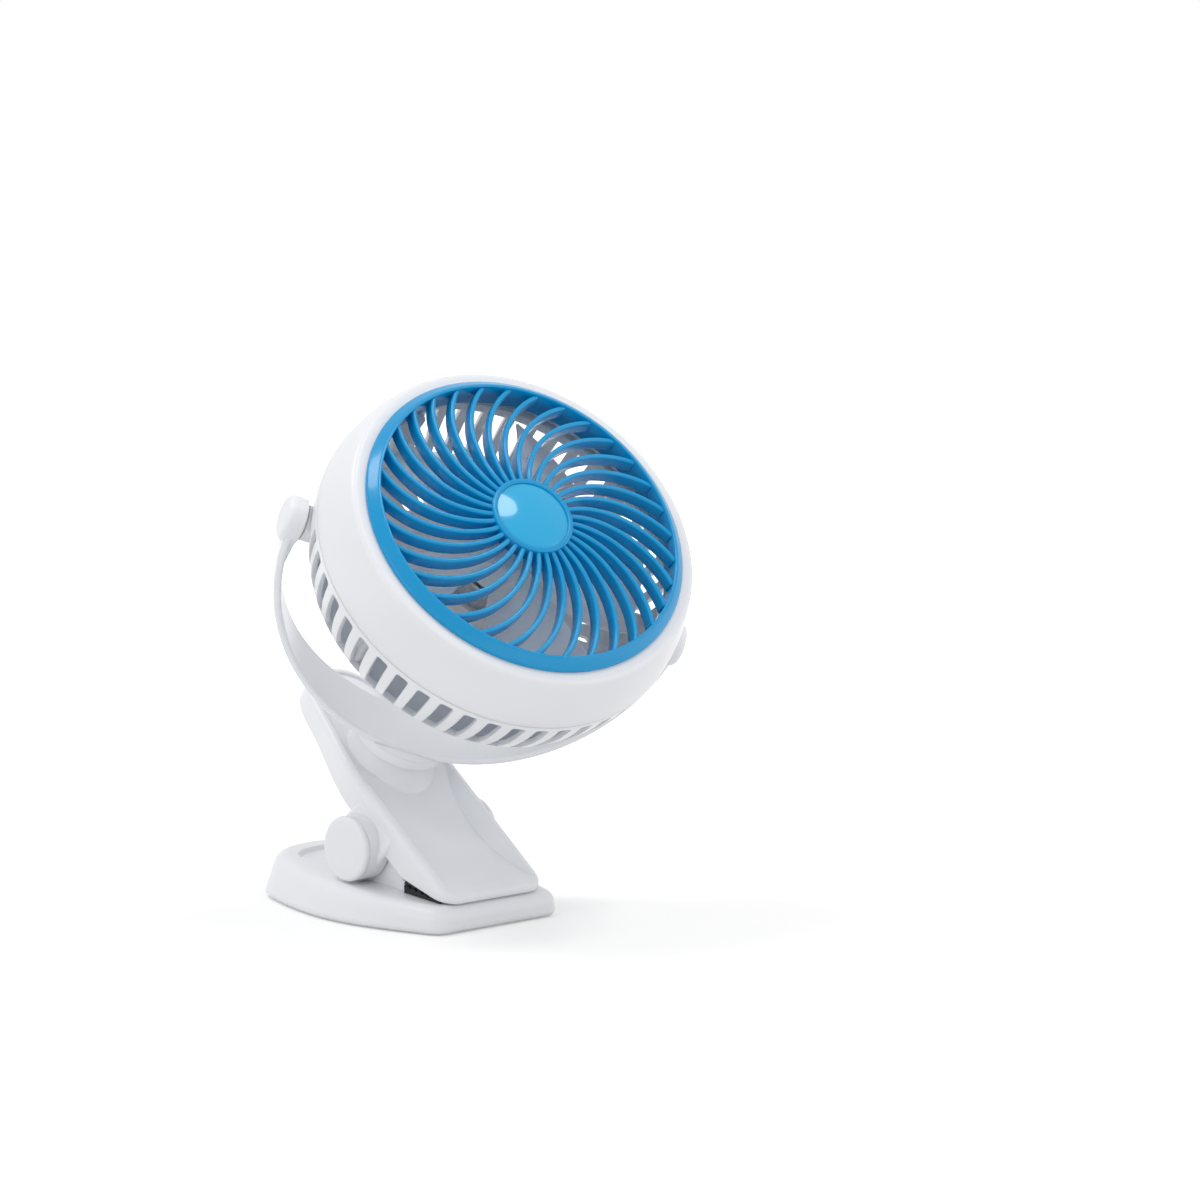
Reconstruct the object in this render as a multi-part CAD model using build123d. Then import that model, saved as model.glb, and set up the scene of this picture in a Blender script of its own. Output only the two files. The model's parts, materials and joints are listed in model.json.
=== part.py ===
from build123d import *
from math import asin, atan2, ceil, cos, degrees, hypot, pi, radians, sin, sqrt, tan
import os

# All lengths are in millimetres, all angles in degrees.
# +Z is up, X runs along the clip's hinge, -Y is where the jaws point.
# The origin is the centre of the face that the base rests on.

# Rest position
arm_slope_deg = 37.5
swivel_turn_deg = -33.0
head_tilt_deg = 16.5

# Shared clearances
overrun = 2.0
seat_gap = 0.05
running_gap = 0.06
moving_gap = 0.3

# Base, the lower jaw
base_length = 117.0
base_width = 81.0
base_tip_width = 59.0
base_widest_y = -6.5
base_tip_height = 10.0
base_rear_height = 18.5
base_side_inset = 5.0
base_tip_inset = 1.0
base_edge_round = 5.5
base_foot_round = 2.0
base_tip_round = 6.5
base_tip_turn_deg = 72.0
base_wall = 2.6
base_rear_corner_shares = (0.78, 0.63)
finger_dish_length = 26.0
finger_dish_width = 40.0
finger_dish_depth = 1.6
finger_dish_y = 31.0
finger_dish_wall_run = 1.2

# Base plate, its non-slip sheet and screws
sheet_thickness = 1.2
sheet_proud = 0.5
sheet_inset = 12.0
sheet_tip_inset = 8.0
plate_thickness = 2.2
plate_screw_shares = ((0.40, -0.66), (0.40, 0.42))
plate_boss_radius = 3.2

# Small screws that hold the mouldings together
screw_radius = 1.3
screw_head_radius = 2.5
screw_head_height = 1.6
screw_length = 8.0
screw_slot_width = 0.7
screw_slot_depth = 0.7

# Hinge
hinge_y = -8.8
hinge_z = 26.6
hinge_pin_radius = 2.0
hinge_ear_radius = 12.2
hinge_ear_outer = 30.6
hinge_cap_thickness = 2.4
hinge_cap_round = 1.4
hinge_lobe_outer = 27.6
hinge_lobe_rise = 4.0
hinge_lobe_below_rim = 5.2
hinge_lobe_round = 2.0
post_radius = 5.6
post_inner = 12.0
post_outer = 21.5
cheek_front_height = 3.6
cheek_pad_gap = 1.0

# Torsion spring on the hinge pin
spring_wire_radius = 0.8
spring_coil_radius = 5.2
spring_half_length = 5.6
spring_turns = 4
spring_rear_leg_drop_deg = 24.0
spring_arm_leg_length = 15.0

# Clip arm, the upper jaw
arm_width = 49.0
arm_end_past_swivel = 47.0
arm_straight_end = -12.0
arm_end_shares = ((0.83, 0.52), (0.63, 0.85))
arm_nose_round = 7.0
arm_depth = 12.0
arm_end_depth = 9.0
arm_taper_end = 20.0
arm_wall = 2.4
arm_floor = 2.4
rim_above_hinge = 18.7
swivel_past_hinge = 28.3
arm_nose_setback = 2.5
jaw_reach = 25.0
jaw_mouth_height = 5.6
trough_rim = 3.4
trough_nose_lip = 5.0
trough_depth = 5.0
trough_flat = 11.0
trough_swivel_depth = 1.0
trough_wall_deg = 46.0
arm_edge_round = 2.4
spring_rib_length = 4.0
spring_rib_width = 14.0

# Rubber jaw pads
pad_width = 46.0
pad_tip_setback = 5.0
pad_pocket = 0.8
pad_rib_count = 5
pad_rib_width = 1.1
pad_rib_depth = 0.5

# Swivel between arm and yoke
swivel_boss_top = 6.05
swivel_boss_radius = 15.5
swivel_boss_foot_radius = 23.0
swivel_washer_thickness = 0.8
swivel_washer_radius = 14.5
swivel_stub_radius = 6.0
keeper_radius = 9.0
keeper_thickness = 1.0

# Yoke
yoke_drum_room = 2.3
yoke_thickness = 3.0
yoke_foot_width = 26.0
yoke_arm_width = 14.5
yoke_width_shares = ((0.26, 0.98), (0.50, 0.86), (0.72, 0.55))
yoke_head_radius = 8.5
yoke_head_room = 0.6
yoke_head_length = 7.2
yoke_head_round = 2.6
yoke_disc_radius = 18.0
yoke_disc_drop = 2.4
yoke_edge_round = 1.2

# Tilt pivots
pivot_pin_radius = 3.0
pivot_pin_end_room = 0.5
pivot_pin_cover = 3.6
pivot_boss_radius = 6.6
pivot_boss_depth = 12.2
pivot_washer_radius = 6.0
pivot_washer_thickness = 0.65

# Drum
drum_radius = 71.6
drum_front_inset = 5.0
drum_front_z = 37.4
drum_front_round = 2.2
drum_bulge_inset = 1.5
drum_bulge_z = 26.5
drum_parting_z = 15.5
drum_waist_inset = 2.4
drum_waist_z = 2.0
drum_knee_inset = 6.2
drum_knee_z = -8.0
drum_rear_inset = 17.1
drum_rear_z = -15.5
drum_wall = 2.2
drum_rebate = 1.0
drum_rebate_height = 2.0

# Vents round the drum's side and in its back
vent_count = 48
vent_width = 5.2
vent_front_z = 13.0
vent_rear_z = -10.0
vent_corner = 1.2
vent_pivot_room = 10.0
intake_count = 36
intake_width = 3.0
intake_inset = 6.0
intake_length = 6.5

# Screws that join the two shells
shell_screw_count = 4
shell_screw_inset = 12.4
shell_boss_radius = 3.4
shell_screw_length = 25.0
shell_screw_sink = 9.0

# Front grille
bezel_inset = 9.6
bezel_width = 4.4
bezel_front_z = 38.8
bezel_rise = 3.0
bezel_lip = 1.0
bezel_skirt_inset = 1.85
bezel_skirt_length = 7.0
bezel_skirt_wall = 1.8
bezel_skirt_gap = 0.15
vane_count = 33
vane_thickness = 1.9
vane_bend_radius = 37.2
vane_depth = 5.6
vane_sink = 0.8
hub_radius = 15.8
hub_wall = 2.0
hub_rise = 5.6
hub_depth = 6.4
hub_floor = 1.8
hub_cap_crown = 1.4
hub_cap_edge = 0.6

# Impeller
impeller_rim_room = 3.6
impeller_hub_radius = 13.0
impeller_hub_length = 15.0
impeller_hub_wall = 1.8
impeller_hub_round = 3.0
impeller_rear_z = 11.8
blade_count = 5
blade_root_chord = 17.0
blade_mid_chord = 31.0
blade_tip_chord = 37.0
blade_root_pitch_deg = 42.0
blade_mid_pitch_deg = 31.0
blade_tip_pitch_deg = 23.0
blade_thickness = 1.5
blade_mid_share = 0.55
blade_sweep = 6.0

# Motor
motor_radius = 12.2
motor_wall = 1.0
motor_front_z = 8.6
motor_rear_z = -13.2
motor_cap_thickness = 3.0
motor_nose_radius = 4.0
motor_nose_height = 1.6
motor_cup_wall = 2.2
motor_cup_front_z = -2.0
bush_radius = 3.0
shaft_radius = 1.0
shaft_front_z = 24.0
magnet_thickness = 1.7
magnet_length = 13.0
magnet_arc_deg = 130.0
armature_radius = 8.9
armature_length = 11.0
commutator_radius = 2.6
commutator_length = 3.2

# Rear housing with the battery and the electronics
housing_width = 86.0
housing_height = 36.0
housing_rear_z = -37.0
housing_wall = 2.0
housing_corner = 6.0
housing_edge_round = 2.0
cell_radius = 9.2
cell_length = 65.0
cell_y = 6.0
cell_z = -25.2
cell_nub_radius = 3.0
cell_nub_length = 1.0
contact_width = 12.0
contact_thickness = 0.5
contact_foot = 1.6
door_width = 79.0
door_height = 20.0
door_screw_inset = 3.6
door_grip_count = 4
door_grip_width = 1.2
door_grip_depth = 0.6
door_grip_length = 9.0
board_width = 46.0
board_height = 8.4
board_thickness = 1.2
board_y = -10.4
board_z = -29.6
button_x = 12.0
button_radius = 4.0
button_proud = 0.9
button_travel = 0.6
button_flange = 1.0
button_flange_thickness = 0.8
button_well_wall = 1.2
switch_size = 5.0
switch_height = 1.6
lens_x = 0.0
lens_radius = 1.2
lens_flange = 0.6
socket_x = -14.0
socket_width = 7.6
socket_height = 2.7
socket_depth = 5.4
socket_wall = 0.35
lead_radius = 0.6
lead_spacing = 5.0
lead_hole_radius = 1.2

# Sizes and places worked out from the sizes above
drum_front_radius = drum_radius - drum_front_inset
drum_rear_radius = drum_radius - drum_rear_inset
shell_screw_ring = drum_radius - shell_screw_inset
bezel_radius = drum_radius - bezel_inset
bezel_inner_radius = bezel_radius - bezel_width
bezel_skirt_radius = bezel_radius - bezel_skirt_inset
impeller_radius = bezel_inner_radius - impeller_rim_room
yoke_inner_radius = drum_radius + yoke_drum_room
yoke_outer_radius = yoke_inner_radius + yoke_thickness
yoke_disc_low = -yoke_outer_radius - yoke_disc_drop
yoke_head_inner = drum_radius + yoke_head_room
yoke_head_outer = yoke_head_inner + yoke_head_length
pivot_washer_outer = yoke_head_inner - moving_gap
pivot_boss_outer = pivot_washer_outer - pivot_washer_thickness - seat_gap
pivot_boss_inner = drum_radius - pivot_boss_depth
pivot_pin_inner = pivot_boss_inner + pivot_pin_end_room
pivot_pin_outer = yoke_head_outer - pivot_pin_cover
head_above_rim = swivel_boss_top + seat_gap + swivel_washer_thickness - yoke_disc_low
slope = radians(arm_slope_deg)
tip_y = -base_length / 2
rear_y = base_length / 2
top_rise = (base_rear_height - base_tip_height) / base_length
swivel_y = hinge_y + swivel_past_hinge * cos(slope) - rim_above_hinge * sin(slope)
swivel_z = hinge_z + swivel_past_hinge * sin(slope) + rim_above_hinge * cos(slope)
arm_up = (0, -sin(slope), cos(slope))
arm_place = Plane(origin=(0, swivel_y, swivel_z), x_dir=(1, 0, 0), z_dir=arm_up).location
yoke_place = arm_place * Pos(0, 0, head_above_rim) * Rot(0, 0, swivel_turn_deg)
head_place = yoke_place * Rot(head_tilt_deg, 0, 0)


# Shapes used by many pieces
def disc(radius, low, high):
    return Pos(0, 0, low) * Cylinder(radius, high - low, align=(Align.CENTER, Align.CENTER, Align.MIN))


def tube(outer, inner, low, high):
    return disc(outer, low, high) - disc(inner, low - overrun, high + overrun)


def block(x_span, y_span, z_span):
    sizes = [high - low for low, high in (x_span, y_span, z_span)]
    middles = [(high + low) / 2 for low, high in (x_span, y_span, z_span)]
    return Pos(*middles) * Box(*sizes)


def along_x(shape):
    return Rot(0, 90, 0) * shape


def along_y(shape):
    return Rot(-90, 0, 0) * shape


def side_prism(points, half_width):
    return extrude(Plane.YZ * make_face(Polyline(*points, close=True)), half_width, both=True)


def spun(points):
    return revolve(Plane.XZ * make_face(Polyline(*points, close=True)), Axis.Z)


def both_sides(shape):
    return [shape, mirror(shape, Plane.YZ)]


def screw(length):
    head = disc(screw_head_radius, 0, screw_head_height)
    slot_span = (-screw_head_radius, screw_head_radius)
    slot = block(slot_span, (-screw_slot_width / 2, screw_slot_width / 2), (0, screw_slot_depth))
    return head - slot + disc(screw_radius, screw_head_height, screw_head_height + length)


def group(shapes):
    return Compound(children=[shape.solid() for shape in shapes])


# Base
def base_top_z(y):
    return base_tip_height + (y - tip_y) * top_rise


def base_face(inset, tip_inset, z):
    half_tip = base_tip_width / 2 - tip_inset
    half_width = base_width / 2 - inset
    front, rear = tip_y + tip_inset, rear_y - inset
    x_share, y_share = base_rear_corner_shares
    corner = (half_width * x_share, base_widest_y + (rear - base_widest_y) * y_share)
    turn = radians(base_tip_turn_deg)
    reach = base_tip_round * tan(turn / 2)
    start = (half_tip + reach * cos(turn), front + reach * sin(turn))
    side = [start, (half_width, base_widest_y), corner, (0, rear)]
    curve = Spline(*side, tangents=[(cos(turn), sin(turn)), (-1, 0)])
    edge = Line((reach - half_tip, front), (half_tip - reach, front))
    arc = TangentArc(edge @ 1, start, tangent=(1, 0))
    return Pos(0, 0, z) * make_face([edge, *both_sides(arc), *both_sides(curve)])


def top_plane(lift):
    angle = atan2(top_rise, 1)
    upward = (0, -sin(angle), cos(angle))
    return Plane(origin=(0, tip_y, base_tip_height + lift), x_dir=(1, 0, 0), z_dir=upward)


def plate_screw_spots():
    spots = []
    for x_share, y_share in plate_screw_shares:
        for side in (-1, 1):
            spots.append((side * x_share * base_width / 2, y_share * base_length / 2))
    return spots


def hinge_posts():
    _, pad_back, _ = pad_lines()
    low = base_top_z(hinge_y) - base_wall
    front_y, back_y = pad_back + cheek_pad_gap, hinge_y + post_radius
    front_z = base_top_z(front_y) + cheek_front_height
    shoulder = (hinge_y - post_radius * sin(slope), hinge_z + post_radius * cos(slope))
    back = [(hinge_y, hinge_z), (back_y, hinge_z), (back_y, low)]
    flank = make_face(Polyline((front_y, low), (front_y, front_z), shoulder, *back, close=True))
    cheek = extrude(Plane.YZ * Pos(0, 0, post_inner) * flank, post_outer - post_inner)
    knuckle = Pos(0, hinge_y, hinge_z) * along_x(disc(post_radius, post_inner, post_outer))
    return both_sides(cheek + knuckle)


def pad_lines():
    nose_y = tip_y + arm_nose_setback
    front_y = nose_y + pad_tip_setback
    back_y = nose_y + jaw_reach
    mouth = jaw_mouth_height / jaw_reach
    middle = [(y, base_top_z(y) + moving_gap + (y - nose_y) * mouth / 2) for y in (front_y, back_y)]
    return front_y, back_y, middle


def finger_dish():
    levels = ((0, 0), (finger_dish_wall_run, finger_dish_depth))
    outlines = []
    for inset, depth in levels:
        outline = Ellipse(finger_dish_width / 2 - inset, finger_dish_length / 2 - inset)
        outlines.append(top_plane(0) * Pos(0, finger_dish_y - tip_y, -depth) * outline)
    return loft(outlines, ruled=True)


def base_shell():
    sides = [base_face(0, 0, sheet_proud), base_face(base_side_inset, base_tip_inset, base_rear_height)]
    shell = loft(sides, ruled=True)
    above = block((-base_width, base_width), (-base_length, 2 * base_length), (0, base_rear_height))
    shell -= top_plane(0) * above
    top_face = shell.faces().sort_by(Axis.Z)[-1]
    shell = fillet(top_face.edges(), base_edge_round)
    foot_face = shell.faces().sort_by(Axis.Z)[0]
    shell = fillet(foot_face.edges(), base_foot_round)
    shell -= finger_dish()
    cavity = base_face(base_side_inset + base_wall, base_tip_inset + base_wall, sheet_proud - overrun)
    cavity_top = base_tip_height - base_wall
    shell -= extrude(cavity, cavity_top - sheet_proud + overrun)
    for post in hinge_posts():
        shell += post
    shell -= Pos(0, hinge_y, hinge_z) * along_x(disc(hinge_pin_radius + seat_gap, -base_width, base_width))
    front_y, back_y, _ = pad_lines()
    pocket = [(y, base_top_z(y) - pad_pocket) for y in (front_y, back_y)]
    pocket += [(y, base_top_z(y) + overrun) for y in (back_y, front_y)]
    shell -= side_prism(pocket, pad_width / 2)
    plate_top = sheet_proud + plate_thickness
    hole = disc(screw_radius + seat_gap, plate_top, sheet_proud + screw_head_height + screw_length)
    for x, y in plate_screw_spots():
        shell += Pos(x, y, 0) * disc(plate_boss_radius, plate_top + seat_gap, cavity_top)
        shell -= Pos(x, y, 0) * hole
    return shell


def base_plate():
    inset = base_side_inset + base_wall + seat_gap
    plate = extrude(base_face(inset, base_tip_inset + base_wall + seat_gap, sheet_proud), plate_thickness)
    recess = base_face(sheet_inset - seat_gap, sheet_tip_inset - seat_gap, 0)
    plate -= extrude(recess, sheet_thickness + seat_gap)
    for x, y in plate_screw_spots():
        plate -= Pos(x, y, 0) * disc(screw_radius + seat_gap, 0, base_rear_height)
        plate -= Pos(x, y, 0) * disc(screw_head_radius + seat_gap, 0, sheet_proud + screw_head_height)
    return plate


def non_slip_sheet():
    sheet = extrude(base_face(sheet_inset, sheet_tip_inset, 0), sheet_thickness)
    hole = disc(screw_head_radius + moving_gap, -overrun, sheet_thickness + overrun)
    for x, y in plate_screw_spots():
        sheet -= Pos(x, y, 0) * hole
    return sheet


def base_screws():
    length = screw_length - plate_thickness - seat_gap
    return group([Pos(x, y, sheet_proud) * screw(length) for x, y in plate_screw_spots()])


def pad_ribs(front_y, back_y, line, into):
    grooves = []
    pitch = (back_y - front_y) / (pad_rib_count + 1)
    (y_0, z_0), (y_1, z_1) = line
    for number in range(1, pad_rib_count + 1):
        y = front_y + number * pitch
        z = z_0 + (z_1 - z_0) * (y - y_0) / (y_1 - y_0)
        span = sorted((z - into * overrun, z + into * pad_rib_depth))
        grooves.append(block((-pad_width, pad_width), (y - pad_rib_width / 2, y + pad_rib_width / 2), span))
    return grooves


def lower_jaw_pad():
    front_y, back_y, middle = pad_lines()
    front_y += seat_gap
    back_y -= seat_gap
    line = [(y, z - moving_gap / 2) for y, z in middle]
    floor = [(y, base_top_z(y) - pad_pocket + seat_gap) for y in (back_y, front_y)]
    front_top, back_top = line
    pad = side_prism([(front_y, front_top[1]), (back_y, back_top[1]), *floor], pad_width / 2 - seat_gap)
    return pad - pad_ribs(front_y, back_y, line, -1)


# Hinge and spring
def hinge_pin():
    half = hinge_ear_outer - seat_gap
    return Pos(0, hinge_y, hinge_z) * along_x(disc(hinge_pin_radius, -half, half))


def hinge_caps():
    cap = disc(hinge_ear_radius, hinge_ear_outer + seat_gap, hinge_ear_outer + hinge_cap_thickness)
    outer_edge = cap.edges().sort_by(Axis.Z)[-1]
    cap = fillet(outer_edge, hinge_cap_round)
    return group([Pos(0, hinge_y, hinge_z) * half for half in both_sides(along_x(cap))])


def biarc(start, start_way, end, end_way):
    chord = end - start
    ways = start_way + end_way
    bend = 2 * (1 - start_way.dot(end_way))
    reach = (sqrt(chord.dot(ways) ** 2 + bend * chord.dot(chord)) - chord.dot(ways)) / bend
    joint = (start + start_way * reach + end - end_way * reach) / 2
    joint_way = (end - end_way * reach - start - start_way * reach).normalized()
    first = TangentArc(start, joint, tangent=start_way)
    second = TangentArc(joint, end, tangent=joint_way)
    return [first, second]


def spring_points(angle, first_angle, last_angle):
    share = (angle - first_angle) / (last_angle - first_angle)
    x = spring_half_length * (2 * share - 1)
    climb = 2 * spring_half_length / (last_angle - first_angle)
    place = Vector(x, hinge_y + spring_coil_radius * cos(angle), hinge_z + spring_coil_radius * sin(angle))
    way = Vector(climb, -spring_coil_radius * sin(angle), spring_coil_radius * cos(angle)).normalized()
    return place, way


def spring_rear_leg_length():
    drop = radians(spring_rear_leg_drop_deg)
    start_y = hinge_y - spring_coil_radius * sin(drop)
    start_z = hinge_z - spring_coil_radius * cos(drop)
    room = start_z - base_top_z(start_y) - (spring_wire_radius + moving_gap) * sqrt(1 + top_rise ** 2)
    return (room - spring_wire_radius * cos(drop)) / (sin(drop) + top_rise * cos(drop))


def torsion_spring():
    first_angle = pi / 2 + slope
    last_angle = 2 * pi * (spring_turns + 1) - pi / 2 - radians(spring_rear_leg_drop_deg)
    steps = ceil((last_angle - first_angle) / (pi / 2))
    angles = [first_angle + (last_angle - first_angle) * step / steps for step in range(steps + 1)]
    spots = [spring_points(angle, first_angle, last_angle) for angle in angles]
    start, start_way = spots[0]
    end, end_way = spots[-1]
    edges = [Line(start - start_way * spring_arm_leg_length, start)]
    for (here, way), (there, next_way) in zip(spots, spots[1:]):
        edges += biarc(here, way, there, next_way)
    edges.append(Line(end, end + end_way * spring_rear_leg_length()))
    path = Wire([edge.edge() for edge in edges])
    section = Plane(origin=path @ 0, z_dir=path % 0) * Circle(spring_wire_radius)
    print("spring least gap to itself, mm:", round(spring_gap(steps, first_angle, last_angle), 2))
    return sweep(section, path=path)


def spring_gap(steps, first_angle, last_angle):
    count = steps * 8
    fine = [first_angle + (last_angle - first_angle) * number / count for number in range(count + 1)]
    places = [spring_points(angle, first_angle, last_angle)[0] for angle in fine]
    gaps = [(there - here).length for low, here in enumerate(places) for there in places[low + 16:]]
    return min(gaps) - 2 * spring_wire_radius


# Clip arm
def in_arm(y, z):
    along = (y - swivel_y) * cos(slope) + (z - swivel_z) * sin(slope)
    above = (z - swivel_z) * cos(slope) - (y - swivel_y) * sin(slope)
    return along, above


def jaw_corners():
    nose_y = tip_y + arm_nose_setback
    back_y = nose_y + jaw_reach
    nose = in_arm(nose_y, base_top_z(nose_y) + moving_gap)
    mouth = in_arm(back_y, base_top_z(back_y) + moving_gap + jaw_mouth_height)
    return nose, mouth


def trough_front():
    (nose_y, _), _ = jaw_corners()
    return nose_y + trough_nose_lip


def trough_room(drop, high):
    front, reach = trough_front(), arm_end_past_swivel
    deep = ((front - trough_flat) / 2, -trough_depth - drop)
    flat = [(y, -trough_swivel_depth - drop) for y in (-trough_flat, reach)]
    floor = ThreePointArc((front, -drop), deep, flat[0])
    rest = Polyline(*flat, (reach, high), (front, high), (front, -drop))
    return extrude(Plane.YZ * make_face(floor + rest), arm_width, both=True)


def arm_face(inset, nose_inset):
    (nose_y, _), _ = jaw_corners()
    half = arm_width / 2 - inset
    end = arm_end_past_swivel - inset
    straight = arm_straight_end
    along = [(half * x_share, straight + (end - straight) * y_share) for x_share, y_share in arm_end_shares]
    front = nose_y + nose_inset
    corners = ((-half, straight), (-half, front), (half, front), (half, straight))
    sides = FilletPolyline(*corners, radius=arm_nose_round - inset)
    curve = Spline((half, straight), *along, (0, end), tangents=[(0, 1), (-1, 0)])
    return make_face([sides, *both_sides(curve)])


def trough():
    front, reach = trough_front(), arm_end_past_swivel
    half = arm_width / 2 - trough_rim
    slope_run = tan(radians(trough_wall_deg))
    rise = (half + overrun * slope_run, overrun)
    groove = make_face(Polyline((0, -half / slope_run), rise, (-rise[0], rise[1]), close=True))
    groove = Pos(0, reach, 0) * extrude(Plane.XZ * groove, reach - front + overrun)
    inside = Pos(0, 0, -arm_depth) * extrude(arm_face(trough_rim, trough_rim), 2 * arm_depth)
    return groove & trough_room(0, overrun) & inside


def arm_underside():
    _, (mouth_y, _) = jaw_corners()
    low = -arm_depth - overrun
    behind_mouth = block((-arm_width, arm_width), (mouth_y + arm_wall, arm_end_past_swivel), (low, 0))
    return trough_room(arm_floor, low) & behind_mouth & extrude(arm_face(arm_wall, arm_wall), low)


def hinge_ear():
    inner = arm_width / 2 - arm_wall
    ear = along_x(disc(hinge_ear_radius, inner, hinge_ear_outer))
    top = rim_above_hinge - hinge_lobe_below_rim
    flank = [(hinge_lobe_outer, 0), (hinge_lobe_outer, hinge_lobe_rise), (arm_width / 2, top)]
    outline = make_face(Polyline((inner, 0), *flank, (inner, top), close=True))
    lobe = extrude(Plane.XZ * outline, hinge_ear_radius, both=True)
    lobe = fillet(lobe.edges().filter_by(lambda edge: edge.center().X > arm_width / 2), hinge_lobe_round)
    return Pos(0, -swivel_past_hinge, -rim_above_hinge) * (ear + lobe)


def swivel_boss():
    top, foot = (swivel_boss_radius, swivel_boss_top), (swivel_boss_foot_radius, -trough_depth)
    flare = TangentArc(top, foot, tangent=(0, -1))
    rest = Polyline(foot, (0, -trough_depth), (0, swivel_boss_top), top)
    return revolve(Plane.XZ * make_face(flare + rest), Axis.Z)


def arm_shell():
    (nose_y, nose_z), (mouth_y, mouth_z) = jaw_corners()
    end = arm_end_past_swivel
    low_edge = [(end, -arm_end_depth), (arm_taper_end, -arm_end_depth), (arm_straight_end, -arm_depth)]
    body = side_prism([(nose_y, 0), (end, 0), *low_edge, (mouth_y, mouth_z), (nose_y, nose_z)], arm_width)
    body &= extrude(arm_face(0, 0), -2 * arm_depth)
    rim = body.faces().sort_by(Axis.Z)[-1]
    body = fillet(rim.edges(), arm_edge_round)
    body -= trough()
    body += swivel_boss()
    body -= arm_underside()
    for ear in both_sides(hinge_ear()):
        body += ear
    rib_back = spring_arm_leg_length - swivel_past_hinge
    rib_low = spring_coil_radius + spring_wire_radius + moving_gap - rim_above_hinge
    rib_span = (rib_back - spring_rib_length, rib_back)
    rib_high = -trough_swivel_depth - arm_floor
    body += block((-spring_rib_width / 2, spring_rib_width / 2), rib_span, (rib_low, rib_high))
    body -= disc(swivel_stub_radius + running_gap, -2 * arm_depth, 2 * arm_depth)
    pin_bore = along_x(disc(hinge_pin_radius + running_gap, -base_width, base_width))
    body -= Pos(0, -swivel_past_hinge, -rim_above_hinge) * pin_bore
    body -= pad_pocket_in_arm()
    return arm_place * body


def pad_pocket_in_arm():
    (nose_y, nose_z), (mouth_y, mouth_z) = jaw_corners()
    rise = (mouth_z - nose_z) / (mouth_y - nose_y)
    front = nose_y + pad_tip_setback
    line = [(y, nose_z + (y - nose_y) * rise) for y in (front, mouth_y + overrun)]
    high = [(y, z + pad_pocket) for y, z in reversed(line)]
    low = [(y, z - overrun) for y, z in line]
    return side_prism([*low, *high], pad_width / 2)


def upper_jaw_pad():
    front_y, back_y, middle = pad_lines()
    line = [(y, z + moving_gap / 2) for y, z in middle]
    (nose_y, nose_z), (mouth_y, mouth_z) = jaw_corners()
    rise = (mouth_z - nose_z) / (mouth_y - nose_y)
    bottom = [in_arm(y, z) for y, z in line]
    front = max(bottom[0][0], nose_y + pad_tip_setback + seat_gap)
    back = bottom[1][0]
    top = [(y, nose_z + (y - nose_y) * rise + pad_pocket - seat_gap) for y in (back, front)]
    pad = side_prism([(front, bottom[0][1]), bottom[1], *top], pad_width / 2 - seat_gap)
    return arm_place * pad - pad_ribs(front_y, back_y, line, 1)


# Swivel
def swivel_washer():
    low = swivel_boss_top + seat_gap
    high = swivel_boss_top + swivel_washer_thickness
    return arm_place * tube(swivel_washer_radius, swivel_stub_radius + moving_gap, low, high)


def stub_end():
    return -trough_swivel_depth - arm_floor - head_above_rim - running_gap


def keeper_washer():
    low = stub_end() - keeper_thickness
    return yoke_place * tube(keeper_radius, screw_radius + seat_gap, low, stub_end() - seat_gap)


def swivel_screw():
    low = stub_end() - keeper_thickness - screw_head_height - seat_gap
    return yoke_place * Pos(0, 0, low) * screw(screw_length)


# Yoke
def yoke_plan():
    foot, arm = yoke_foot_width / 2, yoke_arm_width / 2
    reach = yoke_head_outer
    points = [(x_share * reach, arm + (foot - arm) * share) for x_share, share in yoke_width_shares]
    right = [*points, (reach, arm)]
    left = [(-x, y) for x, y in reversed(right)]
    upper = Spline(*left, (0, foot), *right)
    lower = Spline(*[(x, -y) for x, y in (*left, (0, foot), *right)])
    return make_face(upper + Line(upper @ 1, lower @ 1) + lower + Line(lower @ 0, upper @ 0))


def yoke():
    wheel = along_y(disc(yoke_outer_radius, -yoke_foot_width, yoke_foot_width))
    hoop = wheel - along_y(disc(yoke_inner_radius, -2 * yoke_foot_width, 2 * yoke_foot_width))
    plan = Pos(0, 0, -yoke_outer_radius - overrun) * extrude(yoke_plan(), yoke_outer_radius + overrun)
    band = hoop & plan
    body = fillet(band.edges().filter_by(lambda edge: edge.length > yoke_inner_radius), yoke_edge_round)
    head = disc(yoke_head_radius, yoke_head_inner, yoke_head_outer)
    head = fillet(head.edges().sort_by(Axis.Z)[-1], yoke_head_round)
    fairing_low = -sqrt(yoke_inner_radius ** 2 - yoke_head_inner ** 2) - yoke_thickness / 3
    half = yoke_arm_width / 2
    fairing = block((yoke_head_inner, yoke_head_outer), (-half, half), (fairing_low, 0))
    fairing = fillet(fairing.edges().filter_by(Axis.Z), yoke_edge_round) & wheel
    for piece in both_sides(along_x(head)) + both_sides(fairing):
        body += piece
    body += disc(yoke_disc_radius, yoke_disc_low, -yoke_inner_radius - yoke_thickness / 3)
    body += disc(swivel_stub_radius, stub_end(), yoke_disc_low)
    body -= disc(screw_radius + seat_gap, stub_end() - overrun, stub_end() + screw_length)
    bore = along_x(disc(pivot_pin_radius + seat_gap, 0, pivot_pin_outer + seat_gap))
    for hole in both_sides(bore):
        body -= hole
    return yoke_place * body


def pivot_pins():
    pin = along_x(disc(pivot_pin_radius, pivot_pin_inner, pivot_pin_outer))
    return group([yoke_place * half for half in both_sides(pin)])


def pivot_washers():
    low = pivot_boss_outer + seat_gap
    washer = along_x(tube(pivot_washer_radius, pivot_pin_radius + running_gap, low, pivot_washer_outer))
    return group([head_place * half for half in both_sides(washer)])


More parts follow.
